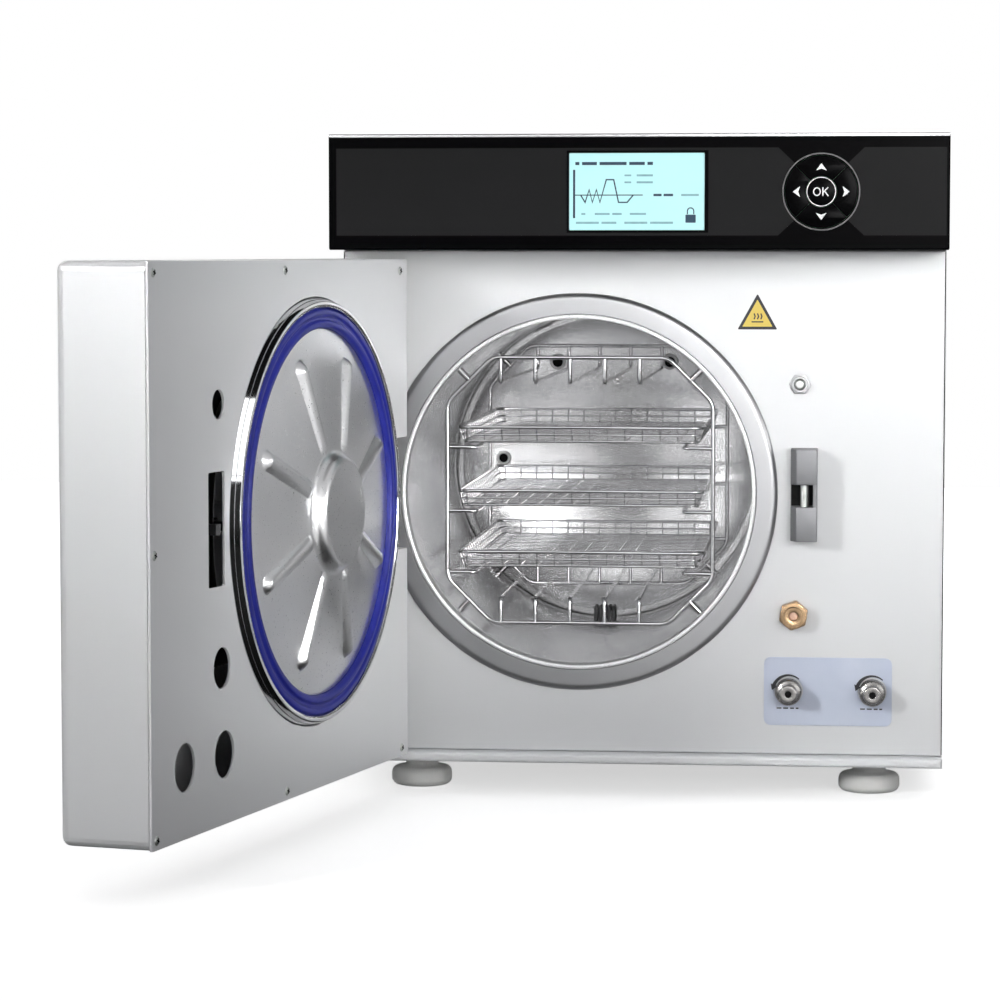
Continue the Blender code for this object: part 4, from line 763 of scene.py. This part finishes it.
def make_switch():
    low, high = box("door_switch_bushing")
    centre = centre_of("door_switch_bushing")
    nut = [hexagon(centre, 0.0078, 0.0008, 3), circle(centre.x, centre.z, 0.005)]
    bm = plate(bmesh.new(), nut, -0.0031, high.y, 0.0004)
    profile = [(0.0039, high.y), (0.0039, low.y + 0.0003), (0.0043, low.y), (0.0054, low.y)]
    profile += thread(0.0058, 0.0055, low.y + 0.0008, 5) + [(0.0056, high.y)]
    turned(bm, profile, centre, steps=48, ring=True)
    piece("switch_bushing", bm, "satin_steel", "door_switch_bushing")
    low, high = box("door_switch_plunger")
    radius = 0.0034
    tip = soften([(0, low.y), (radius, low.y), (radius, high.y), (0, high.y)], [0, 0.0016, 0, 0], 6)
    bm = turned(bmesh.new(), tip, centre, steps=40)
    piece("switch_plunger", bm, "zinc_steel", "door_switch_plunger", body="switch")


def make_fitting():
    """A brass hose fitting: a hexagon with rounded corners, and a threaded nipple with a bright bore."""
    back = box("brass_fitting")[1].y
    nut_face, washer_face, bore_face, bore = -0.009, -0.0104, -0.0128, 0.0034
    bm = plate(bmesh.new(), [hexagon(FITTING, 0.011, 0.0014, 4, turn=0.35)], nut_face, back, 0.0007, bevel_steps=3)
    washer = [(0, washer_face), (0.0094, washer_face), (0.0098, -0.0088), (0, -0.0088)]
    turned(bm, soften(washer, [0, 0.0006, 0.0004, 0]), FITTING)
    nipple = [(bore, -0.0105), (bore, -0.0158), (0.004, -0.016), (0.0064, -0.016)]
    nipple += thread(0.0068, 0.0063, -0.0156, 6) + [(0.0066, -0.0102), (bore, -0.0102)]
    turned(bm, nipple, FITTING, ring=True)
    piece("hose_fitting", bm, "brass", "brass_fitting")
    plug = [(0, bore_face), (0.0033, bore_face), (0.0033, -0.0108), (0, -0.0108)]
    bm = turned(bmesh.new(), soften(plug, [0, 0.001, 0, 0]), FITTING, steps=40)
    piece("fitting_bore", bm, "copper")


def make_valves():
    """Two drain valves: each a nozzle on a collar, on a knurled knob."""
    # Radius and distance behind the tip, up to the knob's back edge
    outline = [(0, 0.004), (0.0022, 0.004), (0.0024, 0), (0.0058, 0), (0.0066, 0.0008), (0.0066, 0.0075)]
    outline += [(0.0058, 0.0082), (0.0058, 0.0092), (0.0084, 0.01), (0.0095, 0.0112), (0.0095, 0.015)]
    outline += [(0.0095, 0.019), (0.0088, 0.0198)]
    sizes = [0, 0, 0.0003, 0.0004, 0.0005, 0.0004, 0.0003, 0.0003, 0.0004, 0.0006, 0, 0.0004, 0, 0, 0]
    for side, centre in VALVES.items():
        low, high = box(f"drain_valve_{side}")
        tip, back = low.y, high.y
        profile = [(radius, tip + y) for radius, y in outline] + [(0.0088, back), (0, back)]
        ripple = knurl(36, 0.0005, tip + 0.0114, tip + 0.0186)
        bm = turned(bmesh.new(), soften(profile, sizes, 3), centre, steps=144, shape=ripple)
        piece(f"valve_nozzle_{side}", bm, "nozzle_steel", f"drain_valve_{side}", body=f"valve_{side}")
        # A black plug in each nozzle's bore: painted shade.
        plug, near, far = 0.0023, tip + 0.0006, tip + 0.0042
        bm = turned(bmesh.new(), [(0, near), (plug, near), (plug, far), (0, far)], centre, steps=32)
        piece(f"valve_bore_{side}", bm, "painted_shade_black", body=f"valve_{side}")


def make_seams():
    """Black strips in the gaps between the front panel's edges and the side covers: painted shade."""
    bm = bmesh.new()
    for side in (-1, 1):
        left, right = sorted((side * (HALF_WIDTH - 0.0001), side * (HALF_WIDTH - 0.0008)))
        plate(bm, [rectangle(left, right, PANEL_BOX[0].z + 0.001, HEAD_LOW - 0.001)], -0.0002, 0.0004)
    piece("panel_seams", bm, "painted_shade_black")


def make_label():
    """The valves' label: on it, for each valve, an arrow that widens to its head, and dashes in place of words."""
    holes = [circle(centre.x, centre.z, 0.0103) for centre in VALVES.values()]
    outline = rectangle(LABEL_LOW.x, LABEL_HIGH.x, LABEL_LOW.z, LABEL_HIGH.z, 0.0055)
    bm = plate(bmesh.new(), [outline, *holes], LABEL_LOW.y, LABEL_HIGH.y, 0.0002)
    piece("label_plate", bm, "pale_blue", "valve_label_plate", angle=FLAT)
    radius, start, end, steps = 0.0112, 48, 158, 24
    head, tip, drop, dash = 0.0026, 0.0042, 0.0126, 0.0005
    outlines = []
    for centre in VALVES.values():
        outer, inner = [], []
        for step in range(steps + 1):
            share = step / steps
            angle = radians(start + (end - start) * share)
            half = 0.0004 + 0.0009 * share
            outer.append(centre.xz + polar(radius + half, angle))
            inner.append(centre.xz + polar(radius - half, angle))
        outlines.append([outer + inner[::-1]])
        out = polar(1.0, radians(end))
        along = Vector((-out.y, out.x))
        base = centre.xz + out * radius
        outlines.append([[base + out * head, base + along * tip, base - out * head]])
        low = centre.z - drop
        for left, right in ((-0.0085, -0.005), (-0.0038, -0.0002), (0.0012, 0.004), (0.0052, 0.0072)):
            outlines.append([rectangle(centre.x + left, centre.x + right, low - dash, low + dash)])
    marks("label_arrows", outlines, LABEL_LOW.y, "mark_black")


def make_caution():
    """A plain yellow triangle with a black border, three short bars and a base line."""
    x, low, half, height = 0.0824, 0.337, 0.0142, 0.0255
    border, field, stroke_width = 0.0003, 0.0001, 0.0009
    corners = [Vector((x - half, low)), Vector((x + half, low)), Vector((x, low + height))]
    middle = sum(corners, Vector((0, 0))) / 3

    def scaled(share, radius):
        return soften([middle + (corner - middle) * share for corner in corners], radius, 4, closed=True)

    marks("caution_border", [[scaled(1.0, 0.0012)]], 0.0, "mark_black", depth=border)
    marks("caution_field", [[scaled(0.76, 0.0006)]], -border, "mark_yellow", depth=field)
    bars = []
    for column in (-0.0024, 0.0, 0.0024):
        bend = [(0.0, -0.0012), (0.0008, 0.0008), (0.0, 0.003)]
        bars.append(stroke([middle + Vector((column + x, z)) for x, z in bend], stroke_width))
    bars.append([rectangle(middle.x - 0.0042, middle.x + 0.0042, middle.y - 0.0035, middle.y - 0.0026)])
    marks("caution_bars", bars, -border - field, "mark_black")


def make_feet():
    """Four round rubber feet, each on a stem."""
    stem, sizes = 0.0115, [0, 0.002, 0.002, 0.003, 0.002, 0.002, 0.002, 0, 0]
    for row in ("front", "rear"):
        for side in ("left", "right"):
            name = f"foot_{row}_{side}"
            low, high = box(name)
            centre = (low + high) / 2
            radius = (high.x - low.x) / 2
            profile = [(0, low.z), (radius - 0.0028, low.z), (radius, 0.0028), (radius, 0.0104)]
            profile += [(radius - 0.0022, 0.0132), (0.0135, 0.0142), (stem, 0.0162), (stem, high.z), (0, high.z)]
            bm = turned(bmesh.new(), soften(profile, sizes), centre, "Z")
            piece(f"{name}_pad", bm, "rubber_white", name, angle=50)


# Door


def make_door_panel():
    """The door's inner panel, with holes for the lid and for what stands on the cabinet, and its screws."""
    notch_low, notch_high, notch = 0.1815, 0.261, -0.1905
    outline = [(DOOR_RIGHT, DOOR_LOW), (DOOR_RIGHT, DOOR_HIGH), (DOOR_LEFT, DOOR_HIGH), (DOOR_LEFT, notch_high)]
    outline += [(notch, notch_high), (notch, notch_low), (DOOR_LEFT, notch_low), (DOOR_LEFT, DOOR_LOW)]
    outline = soften(outline, [0.0012, 0.0012, 0.0012, 0.001, 0.003, 0.003, 0.001, 0.0012], 4, closed=True)
    holes = [circle(AXIS.x, AXIS.z, LID_RADIUS + 0.0008, WIDE)]
    holes.append(rectangle(LOCK_LOW.x - 0.003, LOCK_HIGH.x + 0.003, LOCK_LOW.z - 0.003, LOCK_HIGH.z + 0.0035, 0.002))
    holes.append(circle(*centre_of("door_switch_bushing").xz, 0.00925))
    holes.append(circle(FITTING.x, FITTING.z, 0.013))
    holes += [circle(centre.x, centre.z, 0.015) for centre in VALVES.values()]
    bm = plate(bmesh.new(), [outline, *holes], DOOR_FACE - PANEL_SHEET, DOOR_FACE, 0.0004)
    piece("door_liner", bm, "panel_steel", "door_inner_panel", body="door", angle=FLAT)

    screws = [(0.2075, DOOR_HIGH - 0.007), (0.006, DOOR_HIGH - 0.0068), (-0.202, DOOR_HIGH - 0.0085)]
    screws += [(0.2085, 0.2114), (-0.2035, DOOR_LOW + 0.006), (0.0065, DOOR_LOW + 0.0062), (0.208, DOOR_LOW + 0.0062)]
    head = [(0, DOOR_FACE + 0.0012), (0.0026, DOOR_FACE + 0.0009), (0.0031, DOOR_FACE), (0, DOOR_FACE - 0.0002)]
    head = soften(head, [0, 0.0012, 0.0003, 0])
    # Black crosses in the screw heads' slots: painted shade.
    heads, slot_shade = bmesh.new(), bmesh.new()
    for x, z in screws:
        turned(heads, head, (x, 0, z), steps=32)
        for turn in (0.4, 0.4 + pi / 2):
            along = polar(0.0017, turn)
            groove = stroke([Vector((x, z)) - along, Vector((x, z)) + along], 0.0009)
            plate(slot_shade, groove, DOOR_FACE + 0.0013, DOOR_FACE + 0.0006)
    piece("liner_screws", heads, "zinc_steel", body="door")
    piece("liner_screw_slots", slot_shade, "painted_shade_black", body="door")


def rib_height(x, z):
    """How far the lid's eight pressed ribs stand proud of its dome, at a point measured from its middle."""
    near, far = 0.048, 0.103
    best = 0.0
    for rib in range(8):
        angle = radians(22.5 + 45 * rib)
        along = x * cos(angle) + z * sin(angle)
        across = -x * sin(angle) + z * cos(angle)
        share = min(max((along - near) / (far - near), 0.0), 1.0)
        half = 0.006 + 0.0006 * share
        beyond = max(near - along, along - far, 0.0)
        edge = (across * across + beyond * beyond) / (half * half)
        if edge < 1:
            best = max(best, (0.0024 + 0.0026 * share) * (1 - edge) ** 0.9)
    return best


def make_lid():
    """The pressed disc, with its boss, ribs and the seal's groove."""
    flat, boss, crown, foot, brim = 0.03, 0.0105, 0.0006, 0.002, -0.0085
    groove, edge, floor, back = SEAL_INNER - 0.0003, SEAL_OUTER + 0.0003, -0.0165, -0.02
    steps, across, sides = 8, 84, 560
    face = [(flat * i / steps, boss + crown * (1 - (i / steps) ** 2)) for i in range(steps + 1)]
    fillet = [(flat, boss), (BOSS_RADIUS - 0.001, boss - 0.0002), (BOSS_RADIUS + 0.003, foot)]
    fillet.append((0.047, foot - crown))
    face += [tuple(point) for point in soften(fillet, [0, 0.0048, 0.005, 0], 10)[1:]]
    start, start_y = face[-1]
    for step in range(1, across + 1):
        share = step / across
        face.append((start + (groove - start) * share, start_y + (brim - start_y) * share))

    def pressed(angle, radius, y):
        if 0.04 < radius < groove - 0.001:
            y += rib_height(radius * cos(angle), radius * sin(angle))
        return radius, y

    bm = turned(bmesh.new(), face, AXIS, steps=sides, shape=pressed)
    under = [(groove, brim), (groove, floor), (edge, floor), (edge, back), (0.1174, back)]
    under += [(0.1124, -0.0134), (0.042, -0.0035), (0.02, -0.0035), (0.018, -0.0134), (0, -0.0134)]
    turned(bm, soften(under, [0, 0.0006, 0, 0, 0.001, 0.001, 0.001, 0.001, 0, 0], 4), AXIS, steps=sides)
    piece("lid_disc", bm, "pressed_steel", "chamber_lid", body="door", angle=42)


def make_lid_rim():
    """The bright rim round the seal: a cone with a groove near its front, and a collar."""
    edge, back, end = SEAL_OUTER + 0.0003, -0.02, -0.0235
    rim = [(edge, back), (edge, -0.0056), (0.1378, -0.005), (0.1402, -0.0052), (0.14135, -0.0084)]
    rim += [(0.1407, -0.0086), (0.1408, -0.0089), (0.1416, -0.0091), (LID_RADIUS, -0.0116), (LID_RADIUS, end)]
    rim += [(0.1395, end), (0.1365, back)]
    sizes = [0, 0.0008, 0.001, 0.0004, 0, 0, 0, 0, 0, 0.001, 0.001, 0]
    bm = turned(bmesh.new(), soften(rim, sizes), AXIS, steps=WIDE, ring=True)
    piece("lid_rim", bm, "mirror_steel", body="door", angle=10)


def make_seal():
    """The silicone ring, with a groove along its front."""
    low, high = -0.0162, -0.0046
    middle = (SEAL_INNER + SEAL_OUTER) / 2
    profile = [(SEAL_INNER, low), (SEAL_INNER, high - 0.0016), (SEAL_INNER + 0.0012, high), (middle - 0.0022, high)]
    profile += [(middle - 0.001, high - 0.0016), (middle + 0.001, high - 0.0016), (middle + 0.0022, high - 0.0006)]
    profile += [(SEAL_OUTER - 0.0012, high - 0.0008), (SEAL_OUTER, high - 0.0024), (SEAL_OUTER, low)]
    sizes = [0, 0.001, 0.0012, 0.001, 0.0006, 0.0006, 0.001, 0.0012, 0.001, 0]
    bm = turned(bmesh.new(), soften(profile, sizes), AXIS, steps=WIDE, ring=True)
    piece("seal_ring", bm, "blue_silicone", "door_seal", body="door", angle=60)


def make_handle():
    """The pull outside the door: a rounded paddle on an upright barrel, in the door's pocket."""
    front, back = -0.073, -0.0655
    paddle = rectangle(0.103, 0.16, 0.252, 0.338, 0.008, 6)
    bm = plate(bmesh.new(), [paddle], front, back, 0.0026, bevel_steps=5)
    for groove in range(5):
        z = 0.275 + 0.01 * groove
        wires(bm, [[(0.1085, back, z), (0.13, back, z)]], 0.0008, sides=3)
    barrel = soften([(0, 0.254), (0.0065, 0.254), (0.0065, 0.336), (0, 0.336)], [0, 0.0015, 0.0015, 0])
    turned(bm, barrel, LATCH, "Z", 48)
    piece("handle_paddle", bm, "cream_plastic", "door_handle", body="latch")


# Back and top


def make_fan_guard():
    """Five round wires, and two spokes that end in the screws' eyes."""
    centre, y = centre_of("fan_frame"), centre_of("fan_guard").y
    spoke_y, spoke, wire, eye = y - 0.0008, 0.06, 0.001, 0.0032
    bm = bmesh.new()
    for radius in (0.044, 0.037, 0.03, 0.023, 0.016):
        hoop = [(point.x, y, point.y) for point in circle(centre.x, centre.z, radius, 72)]
        wires(bm, [hoop], 0.0009, closed=True)
    spokes = []
    for angle in (45, 135):
        out = polar(spoke, radians(angle))
        ends = [centre.xz - out, centre.xz + out]
        spokes.append([(end.x, spoke_y, end.y) for end in ends])
        for end in ends:
            wires(bm, [[(point.x, spoke_y, point.y) for point in circle(*end, eye, 24)]], wire, closed=True)
    wires(bm, spokes, wire)
    piece("fan_grille", bm, "wire_steel", "fan_guard", angle=60)


def make_inlet_pins():
    middle = centre_of("mains_inlet").x
    half, reach, front, back = 0.001, 0.002, 0.4825, 0.4955
    bm = bmesh.new()
    for dx, z in ((-0.007, 0.0692), (0.007, 0.0692), (0.0, 0.0742)):
        x = middle + dx
        plate(bm, [rectangle(x - half, x + half, z - reach, z + reach, 0.0004)], front, back, 0.0003)
    piece("inlet_pins", bm, "brass")


def make_relief():
    """The relief valve's threaded body and nut, and its knurled knob on a stem."""
    low, high = box("relief_valve")
    middle = centre_of("relief_valve")
    bore, radius = 0.0032, 0.009
    profile = [(bore, low.y), (radius, low.y), (radius, high.y), (bore, high.y)]
    bm = turned(bmesh.new(), soften(profile, 0.0006, 3, closed=True), middle, ring=True)
    nut = hexagon(middle, 0.0135, 0.0015, 4)
    plate(bm, [nut, circle(middle.x, middle.z, radius - 0.0002)], 0.4985, 0.5045, 0.0006)
    piece("relief_valve_body", bm, "brass", "relief_valve")

    low, high = box("relief_knob")
    stem, shoulder, radius, base = 0.0028, 0.0105, 0.0125, 0.5125
    profile = [(0, low.y), (stem, low.y), (stem, base), (shoulder, base), (radius, 0.5145)]
    profile += [(radius, 0.519), (radius, 0.524), (shoulder, high.y), (0, high.y)]
    sizes = [0, 0, 0.0004, 0.0008, 0.0008, 0, 0.001, 0.001, 0]
    bm = turned(bmesh.new(), soften(profile, sizes, 4), middle, steps=120, shape=knurl(30, 0.0007, 0.5148, 0.5238))
    piece("relief_knob_body", bm, "brass", "relief_knob", body="relief")


def make_tank_hatch():
    """The tanks' lid: a plate with a finger bar, a skirt under it and the hinge's rod."""
    low, high = box("tank_lid")
    front, back = low.y, 0.428
    bar = rectangle(-0.045, 0.045, front + 0.009, front + 0.019, 0.0045, 6)
    skirt = [rectangle(-0.128, 0.128, 0.202, 0.417, 0.004), rectangle(-0.1255, 0.1255, 0.2045, 0.4145, 0.003)]
    bm = plate(bmesh.new(), [rectangle(low.x, high.x, front, back, 0.009, 6)], 0.4743, 0.4773, 0.0011, "Z", 4)
    plate(bm, [bar], 0.4765, high.z, 0.0012, "Z", 4)
    plate(bm, skirt, 0.468, 0.475, along="Z")
    wires(bm, [[(-0.1, 0.43, 0.4785), (0.1, 0.43, 0.4785)]], 0.0028, sides=6)
    piece("tank_hatch", bm, "cream_plastic", "tank_lid", body="tank_lid")


# Studio


def aim(obj, place, target):
    """Puts a light or a card at a place, facing a target."""
    obj.location = ORIGIN + Vector(place)
    obj.rotation_euler = (Vector(target) - Vector(place)).to_track_quat("-Z", "Y").to_euler()
    bpy.context.scene.collection.objects.link(obj)
    return obj


def sheet(name, width, depth, height, material):
    """A flat rectangle about its own origin."""
    x, y = width / 2, depth / 2
    mesh = bpy.data.meshes.new(name)
    mesh.from_pydata([(-x, -y, height), (x, -y, height), (x, y, height), (-x, y, height)], [], [(0, 1, 2, 3)])
    mesh.materials.append(material)
    return bpy.data.objects.new(name, mesh)


def make_area(name, place, target, size, power, spread_deg=180, shine=False):
    """An area light. A shine shows only in reflections, and no light shows to the camera."""
    light = bpy.data.lights.new(name, "AREA")
    light.shape = "RECTANGLE"
    light.size, light.size_y = size
    light.energy = power
    light.spread = radians(spread_deg)
    obj = aim(bpy.data.objects.new(name, light), place, target)
    obj.visible_camera = False
    obj.visible_diffuse = not shine


def make_card(name, place, target, size):
    """A black card that only reflections see."""
    obj = aim(sheet(name, *size, 0.0, MATERIALS["painted_shade_black"]), place, target)
    obj.visible_camera = obj.visible_diffuse = obj.visible_shadow = False


def make_world():
    """White to the camera. To everything else, a grey horizon that brightens overhead."""
    world = bpy.data.worlds.new("studio")
    bpy.context.scene.world = world
    world.use_nodes = True
    tree = world.node_tree
    parts = add_node(tree, "SeparateXYZ", Vector=add_node(tree, "TexCoord").outputs["Generated"])
    ramp = add_node(tree, "ValToRGB", Fac=parts.outputs["Z"])
    ends = ((0.0, (0.29, 0.29, 0.293, 1.0)), (0.9, (0.5, 0.5, 0.507, 1.0)))
    for element, (height, grey) in zip(ramp.color_ramp.elements, ends):
        element.position, element.color = height, grey
    camera_ray = add_node(tree, "LightPath").outputs["Is Camera Ray"]
    seen = mixed(tree, camera_ray, ramp.outputs["Color"], (1.0, 1.0, 1.0))
    connect(tree, seen, tree.nodes["Background"].inputs["Color"])


def make_floor():
    """A white floor, which throws back less light on the object than it shows."""
    size, below_feet = 6.4, -0.0005
    material = surface(
        "floor_white", (0.88, 0.88, 0.88), 0.7, tone=0.004, tone_size=0.8, grain_depth=0.0, specular=0.0
    )
    tree = material.node_tree
    shown = tree.nodes["Principled BSDF"]
    connect(tree, (1.0, 1.0, 1.0, 1.0), shown.inputs["Emission Color"])
    connect(tree, 0.6, shown.inputs["Emission Strength"])
    unseen = add_node(tree, "BsdfDiffuse", Color=(0.3, 0.3, 0.3, 1.0))
    mixer = add_node(tree, "MixShader", Fac=add_node(tree, "LightPath").outputs["Is Camera Ray"])
    connect(tree, unseen.outputs["BSDF"], mixer.inputs[1])
    connect(tree, shown.outputs["BSDF"], mixer.inputs[2])
    connect(tree, mixer.outputs["Shader"], tree.nodes["Material Output"].inputs["Surface"])
    floor = sheet("floor", size, size, below_feet, material)
    bpy.context.scene.collection.objects.link(floor)


def make_studio():
    make_world()
    make_floor()
    make_area("right", (1.3, -2.0, 0.6), (0.0, 0.0, 0.3), (1.5, 1.1), 8)
    make_area("right_spot", (0.55, -2.1, 0.62), (0.18, 0.0, 0.47), (0.4, 0.3), 0.58, 34)
    make_area("left_spot", (-1.6, -2.2, 1.0), (-0.27, -0.45, 0.43), (0.4, 0.4), 0.92, 26)
    make_area("hinge_spot", (1.15, -0.55, 0.42), (-0.2, -0.1, 0.24), (0.3, 0.3), 0.2, 24)
    make_area("door_spot", (0.6, -1.4, 0.3), (-0.19, -0.12, 0.25), (0.35, 0.35), 0.2, 16)
    make_area("back", (0.6, 2.6, 1.5), (0.0, 0.4, 0.25), (1.6, 1.2), 40)
    make_area("floor_shine", (0.0, -0.95, 0.004), (0.0, -0.95, 1.0), (2.2, 1.2), 4.6, shine=True)
    make_area("front_shine", (-0.1, -3.0, 0.4), (0.0, 0.0, 0.25), (2.6, 1.7), 26, shine=True)
    make_area("rim_shine", (-0.2, -0.95, 0.83), (-0.244, -0.37, 0.279), (0.36, 0.67), 1.1, shine=True)
    make_card("dark_low", (-0.2, -0.69, 0.006), (-0.2, -0.69, -1.0), (0.3, 1.06))
    make_card("dark_front", (-0.22, -1.17, 0.265), (-0.22, 0.0, 0.265), (0.32, 0.53))
    make_card("dark_over", (-0.16, -0.06, 1.08), (-0.16, -0.06, 0.0), (0.48, 1.32))


def make_camera():
    """Stands a little right of the cabinet's middle and looks down to its left, as the reference view does."""
    camera = bpy.data.cameras.new("camera")
    camera.lens = 123.2
    camera.sensor_width = 36.0
    camera.clip_end = 60.0
    obj = bpy.data.objects.new("camera", camera)
    obj.location = ORIGIN + Vector((0.1438, -2.4547, 0.3946))
    obj.rotation_euler = (radians(90 - 4.2), 0.0, radians(5.73))
    bpy.context.scene.collection.objects.link(obj)
    bpy.context.scene.camera = obj


make_camera()
MATERIALS = make_materials()
dress_cad()
make_chamber()
make_strainer()
make_flange()
make_rack()
for level in ("upper", "middle", "lower"):
    make_tray(level)
for make in (
    make_screen, make_head, make_keys, make_lock, make_switch, make_fitting, make_valves, make_seams, make_label,
    make_caution, make_feet, make_door_panel, make_lid, make_lid_rim, make_seal, make_handle, make_fan_guard,
    make_inlet_pins, make_relief, make_tank_hatch, make_studio,
):
    make()
bpy.context.scene.view_settings.view_transform = "Standard"

bpy.context.view_layer.update()
